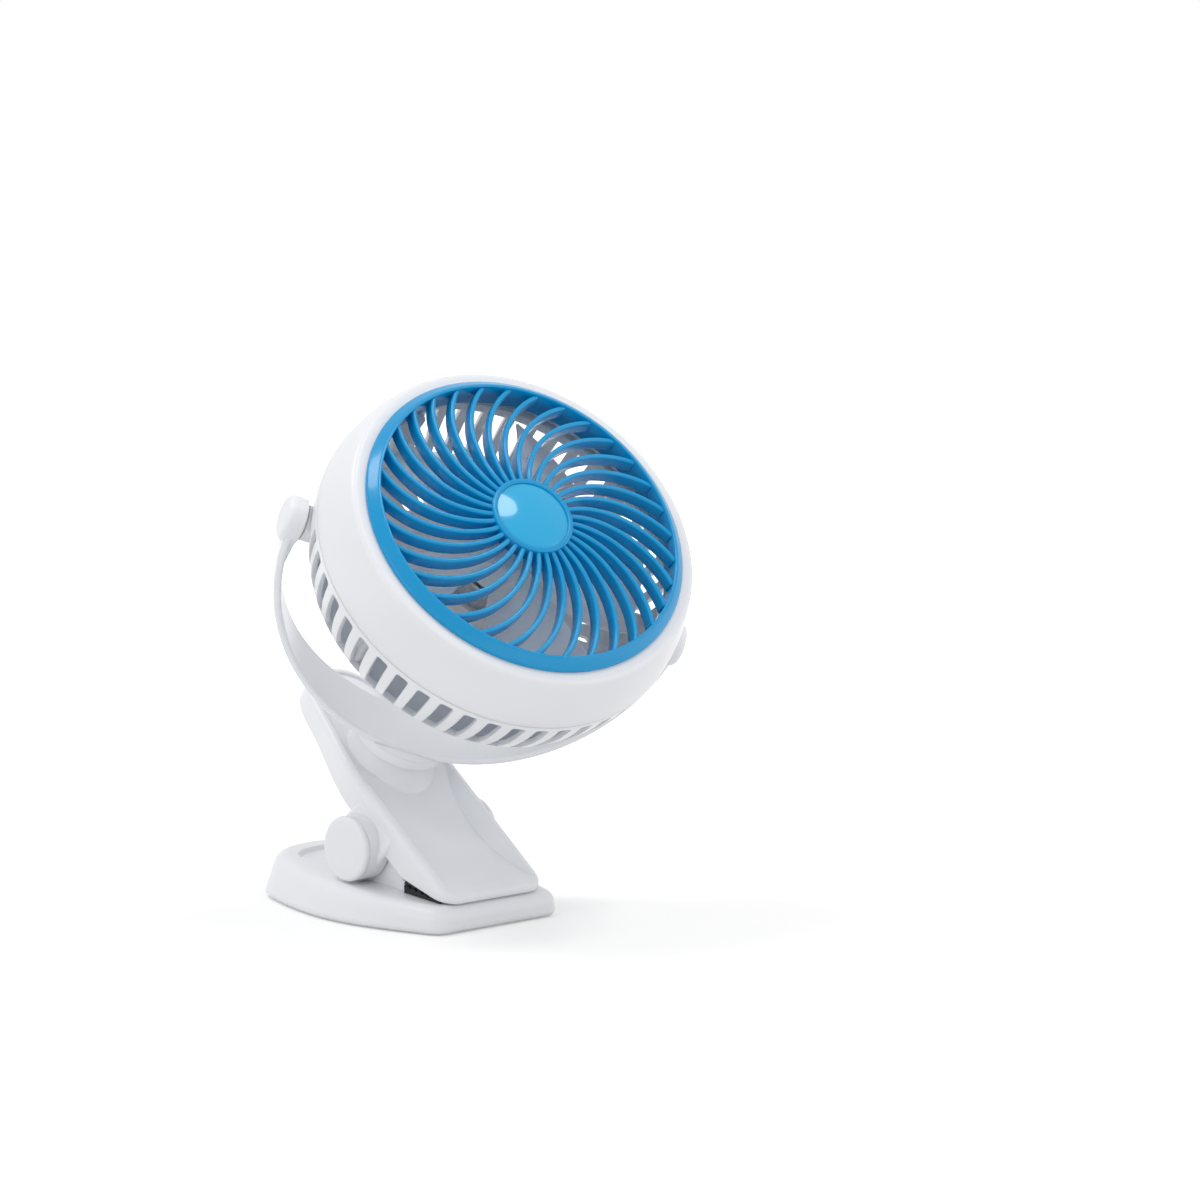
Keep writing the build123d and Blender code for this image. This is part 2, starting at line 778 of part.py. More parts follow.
# Drum
def shell_screw_angles():
    return [360 * (number + 0.5) / shell_screw_count for number in range(shell_screw_count)]


def front_form(inset, front_z):
    front = (drum_front_radius - inset, front_z)
    bulge = (drum_radius - drum_bulge_inset - inset, drum_bulge_z)
    parting = (drum_radius - inset, drum_parting_z)
    axle = Polyline(parting, (0, drum_parting_z), (0, front_z), front)
    return revolve(Plane.XZ * make_face(ThreePointArc(front, bulge, parting) + axle), Axis.Z)


def front_shell():
    shell = front_form(0, drum_front_z)
    rim = shell.edges().group_by(Axis.Z)[-1].sort_by(SortBy.RADIUS)[-1]
    shell = fillet(rim, drum_front_round)
    shell -= front_form(drum_wall, drum_front_z - drum_wall)
    shell -= disc(bezel_skirt_radius + bezel_skirt_gap, drum_parting_z, drum_front_z + overrun)
    lip_high = drum_parting_z + drum_rebate_height
    shell -= disc(drum_radius - drum_wall + drum_rebate, drum_parting_z - overrun, lip_high)
    for angle in shell_screw_angles():
        boss = Pos(shell_screw_ring, 0, 0) * disc(shell_boss_radius, drum_parting_z, drum_bulge_z)
        web_span = (shell_screw_ring, drum_radius - drum_wall)
        web = block(web_span, (-drum_wall / 2, drum_wall / 2), (lip_high, drum_bulge_z))
        shell += Rot(0, 0, angle) * boss
        shell += Rot(0, 0, angle) * web
        hole_high = shell_screw_floor() + shell_screw_length + overrun
        hole = disc(screw_radius + seat_gap, drum_parting_z - overrun, hole_high)
        shell -= Rot(0, 0, angle) * Pos(shell_screw_ring, 0, 0) * hole
    return head_place * shell


def shell_screw_floor():
    return drum_rear_z + shell_screw_sink


def rear_profile(inset):
    top = (drum_radius - inset, drum_parting_z)
    waist = (drum_radius - drum_waist_inset - inset, drum_waist_z)
    knee = (drum_radius - drum_knee_inset - inset, drum_knee_z + inset / 3)
    foot = (drum_rear_radius, drum_rear_z + inset)
    side = ThreePointArc(top, waist, knee)
    return side + TangentArc(knee, foot, tangent=side % 1) + Line(foot, (0, drum_rear_z + inset))


def vent_cutters():
    cutters = []
    middle = (vent_front_z + vent_rear_z) / 2
    wall = Plane(origin=(drum_rear_radius, 0, middle), x_dir=(0, 0, 1), z_dir=(1, 0, 0))
    outline = wall * RectangleRounded(vent_front_z - vent_rear_z, vent_width, vent_corner)
    slot = extrude(outline, drum_rear_inset + overrun)
    for number in range(vent_count):
        angle = 360 * (number + 0.5) / vent_count
        if abs(sin(radians(angle))) * drum_radius > vent_pivot_room:
            cutters.append(Rot(0, 0, angle) * slot)
    return cutters


def intake_cutters():
    cutters = []
    middle = drum_rear_radius - intake_inset - intake_length / 2
    outline = SlotOverall(intake_length, intake_width)
    slot = extrude(outline, 2 * drum_wall, both=True)
    for number in range(intake_count):
        cutters.append(Rot(0, 0, 360 * number / intake_count) * Pos(middle, 0, drum_rear_z) * slot)
    return cutters


def housing_box(inset, low, high):
    width, height = housing_width - 2 * inset, housing_height - 2 * inset
    outline = RectangleRounded(width, height, housing_corner - inset)
    return Pos(0, 0, low) * extrude(outline, high - low)


def rear_shell():
    outer = rear_profile(0)
    inner = rear_profile(drum_wall)
    rim = Line(outer @ 0, inner @ 0)
    core = Line((0, drum_rear_z), (0, drum_rear_z + drum_wall))
    shell = revolve(Plane.XZ * make_face(outer + inner + rim + core), Axis.Z)
    lip_low = drum_parting_z - drum_rebate_height
    lip_high = drum_parting_z + drum_rebate_height - seat_gap
    lip_outer = drum_radius - drum_wall + drum_rebate - seat_gap
    shell += tube(lip_outer, drum_radius - 2 * drum_wall, lip_low, lip_high)
    shell -= vent_cutters()
    shell -= intake_cutters()
    inside = drum_rear_z + drum_wall
    axle = Polyline((0, drum_rear_z), (0, drum_parting_z), (drum_radius, drum_parting_z))
    form = revolve(Plane.XZ * make_face(outer + axle), Axis.Z)
    for angle in shell_screw_angles():
        place = Rot(0, 0, angle) * Pos(shell_screw_ring, 0, 0)
        shell += place * disc(shell_boss_radius, drum_rear_z, drum_parting_z - seat_gap) & form
        shell -= place * disc(screw_head_radius + seat_gap, drum_rear_z - overrun, shell_screw_floor())
        shell -= place * disc(screw_radius + seat_gap, drum_rear_z, drum_parting_z + overrun)
    cup_radius = motor_radius + motor_cup_wall
    shell += tube(cup_radius, motor_radius + seat_gap, inside - drum_wall / 2, motor_cup_front_z)
    shell += housing_walls()
    for post in board_posts():
        shell += post
    boss = along_x(disc(pivot_boss_radius, pivot_boss_inner, pivot_boss_outer))
    for half in both_sides(boss):
        shell += half
    bore_span = (pivot_boss_inner - overrun, pivot_boss_outer + overrun)
    for half in both_sides(along_x(disc(pivot_pin_radius + running_gap, *bore_span))):
        shell -= half
    for side in (-1, 1):
        hole = disc(lead_hole_radius, drum_rear_z - overrun, inside + overrun)
        shell -= Pos(side * lead_spacing, board_y, 0) * hole
    return head_place * shell


# Rear housing
def housing_walls():
    box = housing_box(0, housing_rear_z, drum_rear_z)
    box = fillet(box.faces().sort_by(Axis.Z)[0].edges(), housing_edge_round)
    box -= housing_box(housing_wall, housing_rear_z + housing_wall, drum_rear_z + overrun)
    low = housing_rear_z - overrun
    high = housing_rear_z + housing_wall
    door_half, door_tall = door_width / 2 + seat_gap, door_height / 2 + seat_gap
    box -= block((-door_half, door_half), (cell_y - door_tall, cell_y + door_tall), (low, high + overrun))
    box += door_seat(high)
    well = button_radius + moving_gap
    box += Pos(button_x, board_y, 0) * disc(well + button_well_wall, high, button_flange_z())
    box -= Pos(button_x, board_y, 0) * disc(well, low, button_flange_z() + overrun)
    box -= Pos(lens_x, board_y, 0) * disc(lens_radius + seat_gap, low, high + overrun)
    width, height = socket_width / 2 + seat_gap, socket_height / 2 + seat_gap
    wall = (-housing_height / 2 - overrun, -housing_height / 2 + housing_wall + overrun)
    box -= block((socket_x - width, socket_x + width), wall, (socket_z() - height, socket_z() + height))
    return box


def door_seat(high):
    spot = door_width / 2 - door_screw_inset
    reach = (spot - screw_head_radius, housing_width / 2 - housing_wall / 2)
    half = screw_head_radius
    seat = block(reach, (cell_y - half, cell_y + half), (high, high + housing_wall))
    seat -= Pos(spot, cell_y, 0) * disc(screw_radius + seat_gap, housing_rear_z, drum_rear_z)
    return both_sides(seat)


def button_flange_z():
    return housing_rear_z + housing_wall + button_well_wall


def socket_z():
    return board_z + board_thickness / 2 + socket_height / 2 + seat_gap


def battery_door():
    half, tall = door_width / 2, door_height / 2
    low, high = housing_rear_z, housing_rear_z + housing_wall - seat_gap
    door = block((-half, half), (cell_y - tall, cell_y + tall), (low, high))
    door = fillet(door.faces().sort_by(Axis.Z)[0].edges(), door_grip_depth)
    pitch = 2 * door_grip_width
    for number in range(door_grip_count):
        x = (number - (door_grip_count - 1) / 2) * pitch
        span = (cell_y - door_grip_length / 2, cell_y + door_grip_length / 2)
        width = (x - door_grip_width / 2, x + door_grip_width / 2)
        door -= block(width, span, (low - overrun, low + door_grip_depth))
    for side in (-1, 1):
        spot = Pos(side * (half - door_screw_inset), cell_y, low)
        door -= spot * disc(screw_head_radius + seat_gap, -overrun, screw_head_height)
        door -= spot * disc(screw_radius + seat_gap, 0, housing_wall)
    return head_place * door


def door_screws():
    screws = []
    for side in (-1, 1):
        spot = Pos(side * (door_width / 2 - door_screw_inset), cell_y, housing_rear_z)
        screws.append(head_place * spot * screw(housing_wall + seat_gap))
    return group(screws)


def battery_cell():
    half = cell_length / 2
    cell = disc(cell_radius, -half, half - cell_nub_length)
    cell = fillet(cell.edges(), cell_nub_length)
    cell += disc(cell_nub_radius, half - cell_nub_length - overrun, half)
    return head_place * Pos(0, cell_y, cell_z) * along_x(cell)


def battery_contacts():
    inside = housing_width / 2 - housing_wall - seat_gap
    low, high = cell_z - contact_width / 2, cell_z + contact_width / 2
    span = (cell_y - contact_width / 2, cell_y + contact_width / 2)
    foot_y = (cell_y - contact_foot, cell_y + contact_foot)
    foot_z = (cell_z - contact_foot, cell_z + contact_foot)
    shapes = []
    for side in (-1, 1):
        plate = sorted((side * inside, side * (inside - contact_thickness)))
        contact = block(plate, span, (low, high))
        tongue = sorted((side * (inside - contact_thickness), side * (cell_length / 2 + seat_gap)))
        contact += block(tongue, foot_y, foot_z)
        shapes.append(head_place * contact)
    return group(shapes)


def circuit_board():
    board = Pos(0, board_y, board_z) * Box(board_width, board_height, board_thickness)
    hole = Pos(lead_spacing, board_y, 0) * disc(lead_radius + seat_gap, housing_rear_z, drum_rear_z)
    for half in both_sides(hole):
        board -= half
    return head_place * board


def board_posts():
    posts = []
    for side in (-1, 1):
        x = side * (board_width / 2 - board_height / 3)
        post = disc(board_height / 4, board_z + board_thickness / 2 + seat_gap, drum_rear_z)
        posts.append(Pos(x, board_y, 0) * post)
    return posts


def usb_socket():
    front = -housing_height / 2 + housing_wall / 2
    back = front + socket_depth
    half_width, half_height = socket_width / 2, socket_height / 2
    can = block((-half_width, half_width), (front, back), (-half_height, half_height))
    inner_width, inner_height = half_width - socket_wall, half_height - socket_wall
    mouth = (front - overrun, back - socket_wall)
    can -= block((-inner_width, inner_width), mouth, (-inner_height, inner_height))
    tongue_half = inner_width - 2 * socket_wall
    can += block((-tongue_half, tongue_half), (front + 2 * socket_wall, back), (0, socket_wall))
    return head_place * Pos(socket_x, 0, socket_z()) * can


def tact_switch():
    low = board_z - board_thickness / 2 - switch_height
    half = switch_size / 2
    body = block((-half, half), (-half, half), (low, low + switch_height - seat_gap))
    return head_place * Pos(button_x, board_y, 0) * body


def power_button():
    flange_low = button_flange_z() + seat_gap
    button = disc(button_radius, housing_rear_z - button_proud, flange_low)
    button = fillet(button.edges().sort_by(Axis.Z)[0], button_proud * 2 / 3)
    button += disc(button_radius + button_flange, flange_low, flange_low + button_flange_thickness)
    plunger_top = board_z - board_thickness / 2 - switch_height - button_travel - seat_gap
    button += disc(switch_size / 4, flange_low, plunger_top)
    return head_place * Pos(button_x, board_y, 0) * button


def indicator_lens():
    lens = disc(lens_radius, housing_rear_z, housing_rear_z + housing_wall)
    flange_low = housing_rear_z + housing_wall + seat_gap
    flange_high = board_z - board_thickness / 2 - seat_gap
    lens += disc(lens_radius + lens_flange, flange_low, flange_high)
    lens += disc(lens_radius, housing_rear_z, flange_high)
    return head_place * Pos(lens_x, board_y, 0) * lens


# Front grille
def vane():
    start = Vector(hub_radius - hub_wall / 2, 0)
    centre = Vector(start.X, -vane_bend_radius)
    reach = bezel_inner_radius + bezel_lip / 2
    cosine_gap = (reach ** 2 - start.X ** 2) / (2 * vane_bend_radius)
    root = hypot(start.X, vane_bend_radius)
    turn = degrees(asin((cosine_gap - vane_bend_radius) / root) + atan2(vane_bend_radius, start.X))
    path = CenterArc((centre.X, centre.Y), vane_bend_radius, 90, -turn)
    return trace(path, vane_thickness)


def grille_height(radius):
    share = (radius - hub_radius) / (bezel_inner_radius - hub_radius)
    return bezel_front_z + hub_rise + (bezel_rise - hub_rise) * share - vane_sink


def front_grille():
    inner, outer = hub_radius - hub_wall, bezel_inner_radius + bezel_lip / 2
    top = [(radius, grille_height(radius)) for radius in (inner, outer)]
    low = [(radius, z - vane_depth) for radius, z in reversed(top)]
    envelope = spun([*top, *low])
    one = envelope & Pos(0, 0, drum_parting_z) * extrude(vane(), drum_front_z)
    skirt_inner = bezel_skirt_radius - bezel_skirt_wall
    skirt_low = drum_front_z - bezel_skirt_length
    seat = drum_front_z + seat_gap
    crown = bezel_front_z + bezel_rise
    bezel = spun([
        (bezel_radius, seat), (bezel_radius, bezel_front_z),
        (bezel_inner_radius + bezel_lip, crown), (bezel_inner_radius, crown),
        (bezel_inner_radius, seat - bezel_lip), (skirt_inner, seat - bezel_lip),
        (skirt_inner, skirt_low), (bezel_skirt_radius, skirt_low), (bezel_skirt_radius, seat),
    ])
    hub_top = bezel_front_z + hub_rise
    hub = disc(hub_radius, hub_top - hub_depth, hub_top)
    hub = fillet(hub.edges().sort_by(Axis.Z)[-1], hub_wall / 3)
    hub -= disc(hub_radius - hub_wall, hub_top - hub_depth + hub_floor, hub_top + overrun)
    vanes = [Rot(0, 0, 360 * number / vane_count) * one for number in range(vane_count)]
    return head_place * (bezel + [hub, *vanes])


def hub_cap():
    hub_top = bezel_front_z + hub_rise
    low = hub_top - hub_depth + hub_floor + seat_gap
    radius = hub_radius - hub_wall - seat_gap
    edge = hub_top - hub_cap_edge
    crown = edge + hub_cap_crown
    dome = ThreePointArc((0, crown), (radius / 2, edge + hub_cap_crown * 3 / 4), (radius, edge))
    sides = Polyline((radius, edge), (radius, low), (0, low), (0, crown))
    return head_place * revolve(Plane.XZ * make_face(dome + sides), Axis.Z)


# Impeller
def blade_section(radius, chord, pitch_deg, sweep_back):
    section = SlotOverall(chord, blade_thickness)
    place = Plane(origin=(radius, -sweep_back, 0), x_dir=(0, 1, 0), z_dir=(1, 0, 0))
    return place * Rot(0, 0, pitch_deg) * section


def blade():
    root = impeller_hub_radius - impeller_hub_wall / 2
    tip = impeller_radius + overrun
    middle = root + (tip - root) * blade_mid_share
    sections = [
        blade_section(root, blade_root_chord, blade_root_pitch_deg, 0),
        blade_section(middle, blade_mid_chord, blade_mid_pitch_deg, 0),
        blade_section(tip, blade_tip_chord, blade_tip_pitch_deg, -blade_sweep),
    ]
    limit = disc(impeller_radius, -impeller_radius, impeller_radius)
    hollow = disc(impeller_hub_radius - impeller_hub_wall / 2, -impeller_radius, impeller_radius)
    return loft(sections) & limit - hollow


def impeller():
    low, high = impeller_rear_z, impeller_rear_z + impeller_hub_length
    hub = disc(impeller_hub_radius, low, high)
    hub = fillet(hub.edges().sort_by(Axis.Z)[-1], impeller_hub_round)
    hub -= disc(impeller_hub_radius - impeller_hub_wall, low - overrun, high - impeller_hub_wall)
    hub += disc(3 * shaft_radius, low, high - impeller_hub_wall / 2)
    one = Pos(0, 0, (low + high) / 2) * blade()
    hub += [Rot(0, 0, 360 * number / blade_count) * one for number in range(blade_count)]
    hub -= disc(shaft_radius + seat_gap / 5, low - overrun, shaft_front_z + seat_gap)
    return head_place * hub


# Motor
def motor_can():
    low = motor_rear_z + motor_cap_thickness + seat_gap
    can = disc(motor_radius, low, motor_front_z)
    can = fillet(can.edges().sort_by(Axis.Z)[-1], motor_wall)
    can -= disc(motor_radius - motor_wall, low - overrun, motor_front_z - motor_wall)
    can += disc(motor_nose_radius, motor_front_z - motor_wall, motor_front_z + motor_nose_height)
    can -= disc(bush_radius + seat_gap, low, motor_front_z + motor_nose_height + overrun)
    return head_place * can


def motor_bush():
    high = motor_front_z + motor_nose_height
    return head_place * tube(bush_radius, shaft_radius + running_gap, motor_front_z - 2 * motor_wall, high)


def motor_end_cap():
    cap = disc(motor_radius, motor_rear_z, motor_rear_z + motor_cap_thickness)
    cap -= disc(shaft_radius + running_gap, motor_rear_z + motor_cap_thickness / 3, motor_front_z)
    for side in (-1, 1):
        hole = disc(lead_radius + seat_gap, motor_rear_z - overrun, motor_front_z)
        cap -= Pos(side * lead_spacing, board_y, 0) * hole
    return head_place * cap


def motor_magnets():
    outer = motor_radius - motor_wall - seat_gap
    middle = armature_middle()
    ring = tube(outer, outer - magnet_thickness, middle - magnet_length / 2, middle + magnet_length / 2)
    half_arc = radians(magnet_arc_deg / 2)
    reach = 2 * motor_radius
    side, tall = reach * cos(half_arc), reach * sin(half_arc)
    edge = [(side, -tall), (reach, -tall), (reach, tall), (side, tall)]
    wedge = make_face(Polyline((0, 0), *edge, close=True))
    magnet = ring & Pos(0, 0, -reach) * extrude(wedge, 2 * reach)
    return group([head_place * half for half in both_sides(magnet)])


def armature_middle():
    return (motor_front_z + motor_rear_z + motor_cap_thickness) / 2 + commutator_length / 2


def armature():
    middle = armature_middle()
    low, high = middle - armature_length / 2, middle + armature_length / 2
    core = disc(armature_radius, low, high)
    slot_reach = (armature_radius / 2, 2 * armature_radius)
    slot_half = commutator_radius / 2
    slot = block(slot_reach, (-slot_half, slot_half), (low - overrun, high + overrun))
    for number in range(3):
        core -= Rot(0, 0, 120 * number) * slot
    core += disc(commutator_radius, low - commutator_length, low)
    core -= disc(shaft_radius + seat_gap / 5, low - 2 * commutator_length, high + overrun)
    return head_place * core


def motor_shaft():
    low = motor_rear_z + motor_cap_thickness / 3 + seat_gap
    return head_place * disc(shaft_radius, low, shaft_front_z)


def motor_leads():
    low = board_z - board_thickness / 2
    high = motor_rear_z + motor_cap_thickness
    lead = Pos(lead_spacing, board_y, 0) * disc(lead_radius, low, high)
    return group([head_place * half for half in both_sides(lead)])


def shell_screws():
    low = shell_screw_floor() - screw_head_height - seat_gap
    screws = []
    for angle in shell_screw_angles():
        place = head_place * Rot(0, 0, angle) * Pos(shell_screw_ring, 0, low)
        screws.append(place * screw(shell_screw_length))
    return group(screws)


pieces = [
    base_shell, base_plate, non_slip_sheet, base_screws, lower_jaw_pad, hinge_pin, torsion_spring,
    arm_shell, upper_jaw_pad, hinge_caps, swivel_washer,
    yoke, keeper_washer, swivel_screw, pivot_pins,
    pivot_washers, front_shell, rear_shell, shell_screws, front_grille, hub_cap,
    motor_can, motor_bush, motor_end_cap, motor_magnets, motor_leads,
    battery_cell, battery_contacts, battery_door, door_screws,
    circuit_board, usb_socket, tact_switch, indicator_lens,
    impeller, motor_shaft, armature, power_button,
]

os.makedirs("parts", exist_ok=True)
for piece in pieces:
    export_step(piece(), os.path.join("parts", piece.__name__ + ".step"))
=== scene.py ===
import json
import math
import bmesh
import bpy
from mathutils import Matrix, Vector


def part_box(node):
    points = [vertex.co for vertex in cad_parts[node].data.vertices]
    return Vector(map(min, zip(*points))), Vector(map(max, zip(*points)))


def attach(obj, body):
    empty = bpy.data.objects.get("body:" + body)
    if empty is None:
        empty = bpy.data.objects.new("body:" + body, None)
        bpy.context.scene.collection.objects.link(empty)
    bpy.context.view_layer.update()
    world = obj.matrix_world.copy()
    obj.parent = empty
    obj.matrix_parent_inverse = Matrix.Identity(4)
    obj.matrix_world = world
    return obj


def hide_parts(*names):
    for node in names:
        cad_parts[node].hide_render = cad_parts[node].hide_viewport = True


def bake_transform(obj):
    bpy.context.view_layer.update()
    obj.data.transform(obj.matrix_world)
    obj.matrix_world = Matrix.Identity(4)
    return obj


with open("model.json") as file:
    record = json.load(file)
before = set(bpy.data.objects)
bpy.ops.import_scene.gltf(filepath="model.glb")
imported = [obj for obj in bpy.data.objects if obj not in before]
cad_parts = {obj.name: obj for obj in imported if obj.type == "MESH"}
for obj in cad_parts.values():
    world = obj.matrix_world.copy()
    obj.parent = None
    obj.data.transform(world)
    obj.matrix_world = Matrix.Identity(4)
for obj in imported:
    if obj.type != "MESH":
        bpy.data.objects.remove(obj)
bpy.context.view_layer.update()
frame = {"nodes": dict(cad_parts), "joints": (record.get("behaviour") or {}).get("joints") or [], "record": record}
nodes = frame["nodes"]
joints = {joint["name"]: joint for joint in frame["joints"]}
scene = bpy.context.scene
print("frame loaded:", len(nodes), "nodes")


# places taken from the joints, so the looks follow the CAD
def placeFrom(xAxis, yAxis, zAxis, centre):
    turn = Matrix((xAxis, yAxis, zAxis)).transposed().to_4x4()
    return Matrix.Translation(centre) @ turn


tiltCentre = Vector(joints["tilt"]["pos_m"])
sideways = Vector(joints["tilt"]["axis"]).normalized()
facing = Vector(joints["impeller_spin"]["axis"]).normalized()
headPlace = placeFrom(sideways, facing.cross(sideways), facing, tiltCentre)
hingeCentre = Vector(joints["clip_hinge"]["pos_m"])


# small node helpers
def addNode(tree, kind, **settings):
    node = tree.nodes.new(kind)
    for name, value in settings.items():
        setattr(node, name, value)
    return node


def link(tree, source, target):
    tree.links.new(source, target)


def mathNode(tree, operation, first, second=None):
    node = addNode(tree, "ShaderNodeMath", operation=operation)
    for socket, value in zip(node.inputs, (first, second)):
        if value is None:
            continue
        if hasattr(value, "is_output"):
            link(tree, value, socket)
        else:
            socket.default_value = value
    return node.outputs[0]


def newGroup(name, kind, inputs, outputs):
    group = bpy.data.node_groups.new(name, kind)
    for socketName, socketType, value in inputs:
        socket = group.interface.new_socket(socketName, in_out="INPUT", socket_type=socketType)
        if value is not None:
            socket.default_value = value
    for socketName, socketType in outputs:
        group.interface.new_socket(socketName, in_out="OUTPUT", socket_type=socketType)
    start = group.nodes.new("NodeGroupInput")
    end = group.nodes.new("NodeGroupOutput")
    return group, start, end


# shader groups shared by several finishes
skinOutputs = [
    ("Colour", "NodeSocketColor"),
    ("Roughness", "NodeSocketFloat"),
    ("Height", "NodeSocketFloat"),
]
skins = {
    "flowScale": 14.0,  # slow change of tone, as the melt flowed
    "flowGain": 2.0,
    "flowTint": (0.78, 0.80, 0.86, 1.0),
    "handScale": 60.0,  # faint marks of hands
    "handLow": 0.3,
    "handHigh": 0.7,
    "drawStretch": (0.08, 1.0, 1.0),  # marks run along the hinge pin
    "lineContrast": 0.35,
    "lineTint": (0.62, 0.62, 0.64, 1.0),
    "reliefDepth": 0.0001,
    "edgeSamples": 6,
}


def buildMouldedSkin():
    inputs = [
        ("Colour", "NodeSocketColor", (0.8, 0.8, 0.8, 1.0)),
        ("Shade", "NodeSocketFloat", 0.04),
        ("Smoothest", "NodeSocketFloat", 0.25),
        ("Roughest", "NodeSocketFloat", 0.40),
        ("Grain Scale", "NodeSocketFloat", 1800.0),
    ]
    group, start, end = newGroup("mouldedSkin", "ShaderNodeTree", inputs, skinOutputs)
    coordinates = addNode(group, "ShaderNodeTexCoord")
    flow = addNode(group, "ShaderNodeTexNoise")
    flow.inputs["Scale"].default_value = skins["flowScale"]
    flow.inputs["Detail"].default_value = 2.0
    grain = addNode(group, "ShaderNodeTexNoise")
    grain.inputs["Detail"].default_value = 2.0
    handled = addNode(group, "ShaderNodeTexNoise")
    handled.inputs["Scale"].default_value = skins["handScale"]
    handled.inputs["Detail"].default_value = 3.0
    for texture in (flow, grain, handled):
        link(group, coordinates.outputs["Object"], texture.inputs["Vector"])
    link(group, start.outputs["Grain Scale"], grain.inputs["Scale"])
    darker = addNode(group, "ShaderNodeMix", data_type="RGBA", blend_type="MULTIPLY")
    shade = mathNode(group, "MULTIPLY", flow.outputs["Fac"], start.outputs["Shade"])
    link(group, mathNode(group, "MULTIPLY", shade, skins["flowGain"]), darker.inputs[0])
    link(group, start.outputs["Colour"], darker.inputs[6])
    darker.inputs[7].default_value = skins["flowTint"]
    link(group, darker.outputs[2], end.inputs["Colour"])
    spread = addNode(group, "ShaderNodeMapRange")
    spread.inputs["From Min"].default_value = skins["handLow"]
    spread.inputs["From Max"].default_value = skins["handHigh"]
    link(group, handled.outputs["Fac"], spread.inputs["Value"])
    link(group, start.outputs["Smoothest"], spread.inputs["To Min"])
    link(group, start.outputs["Roughest"], spread.inputs["To Max"])
    link(group, spread.outputs["Result"], end.inputs["Roughness"])
    link(group, grain.outputs["Fac"], end.inputs["Height"])
    return group


def buildDrawnMetal():
    inputs = [
        ("Colour", "NodeSocketColor", (0.6, 0.6, 0.6, 1.0)),
        ("Line Scale", "NodeSocketFloat", 900.0),
        ("Smoothest", "NodeSocketFloat", 0.18),
        ("Roughest", "NodeSocketFloat", 0.38),
    ]
    group, start, end = newGroup("drawnMetal", "ShaderNodeTree", inputs, skinOutputs)
    coordinates = addNode(group, "ShaderNodeTexCoord")
    stretch = addNode(group, "ShaderNodeMapping")
    stretch.inputs["Scale"].default_value = skins["drawStretch"]
    link(group, coordinates.outputs["Object"], stretch.inputs["Vector"])
    lines = addNode(group, "ShaderNodeTexNoise")
    lines.inputs["Detail"].default_value = 4.0
    link(group, stretch.outputs["Vector"], lines.inputs["Vector"])
    link(group, start.outputs["Line Scale"], lines.inputs["Scale"])
    tone = addNode(group, "ShaderNodeMix", data_type="RGBA", blend_type="MULTIPLY")
    link(group, mathNode(group, "MULTIPLY", lines.outputs["Fac"], skins["lineContrast"]), tone.inputs[0])
    link(group, start.outputs["Colour"], tone.inputs[6])
    tone.inputs[7].default_value = skins["lineTint"]
    link(group, tone.outputs[2], end.inputs["Colour"])
    spread = addNode(group, "ShaderNodeMapRange")
    link(group, lines.outputs["Fac"], spread.inputs["Value"])
    link(group, start.outputs["Smoothest"], spread.inputs["To Min"])
    link(group, start.outputs["Roughest"], spread.inputs["To Max"])
    link(group, spread.outputs["Result"], end.inputs["Roughness"])
    link(group, lines.outputs["Fac"], end.inputs["Height"])
    return group


mouldedSkin = buildMouldedSkin()
drawnMetal = buildDrawnMetal()


def skinMaterial(name, group, values, bump, edge, shader):
    material = bpy.data.materials.new(name)
    material.use_nodes = True
    tree = material.node_tree
    principled = tree.nodes["Principled BSDF"]
    skin = addNode(tree, "ShaderNodeGroup")
    skin.node_tree = group
    for socketName, value in values.items():
        skin.inputs[socketName].default_value = value
    link(tree, skin.outputs["Colour"], principled.inputs["Base Color"])
    link(tree, skin.outputs["Roughness"], principled.inputs["Roughness"])
    relief = addNode(tree, "ShaderNodeBump")
    relief.inputs["Strength"].default_value = bump
    relief.inputs["Distance"].default_value = skins["reliefDepth"]
    link(tree, skin.outputs["Height"], relief.inputs["Height"])
    if edge:
        softEdge = addNode(tree, "ShaderNodeBevel", samples=skins["edgeSamples"])
        softEdge.inputs["Radius"].default_value = edge  # moulded edges catch the light
        link(tree, softEdge.outputs["Normal"], relief.inputs["Normal"])
    link(tree, relief.outputs["Normal"], principled.inputs["Normal"])
    for socketName, value in shader.items():
        principled.inputs[socketName].default_value = value
    return material


def moulded(name, colour, shade, roughness, grainScale, bump, edge=0.0, **shader):
    smoothest, roughest = roughness
    values = {
        "Colour": (*colour, 1.0), "Shade": shade, "Grain Scale": grainScale,
        "Smoothest": smoothest, "Roughest": roughest,
    }
    return skinMaterial(name, mouldedSkin, values, bump, edge, shader)


def metal(name, colour, lineScale, roughness, bump):
    smoothest, roughest = roughness
    values = {
        "Colour": (*colour, 1.0), "Line Scale": lineScale, "Smoothest": smoothest, "Roughest": roughest,
    }
    return skinMaterial(name, drawnMetal, values, bump, 0.0, {"Metallic": 1.0})


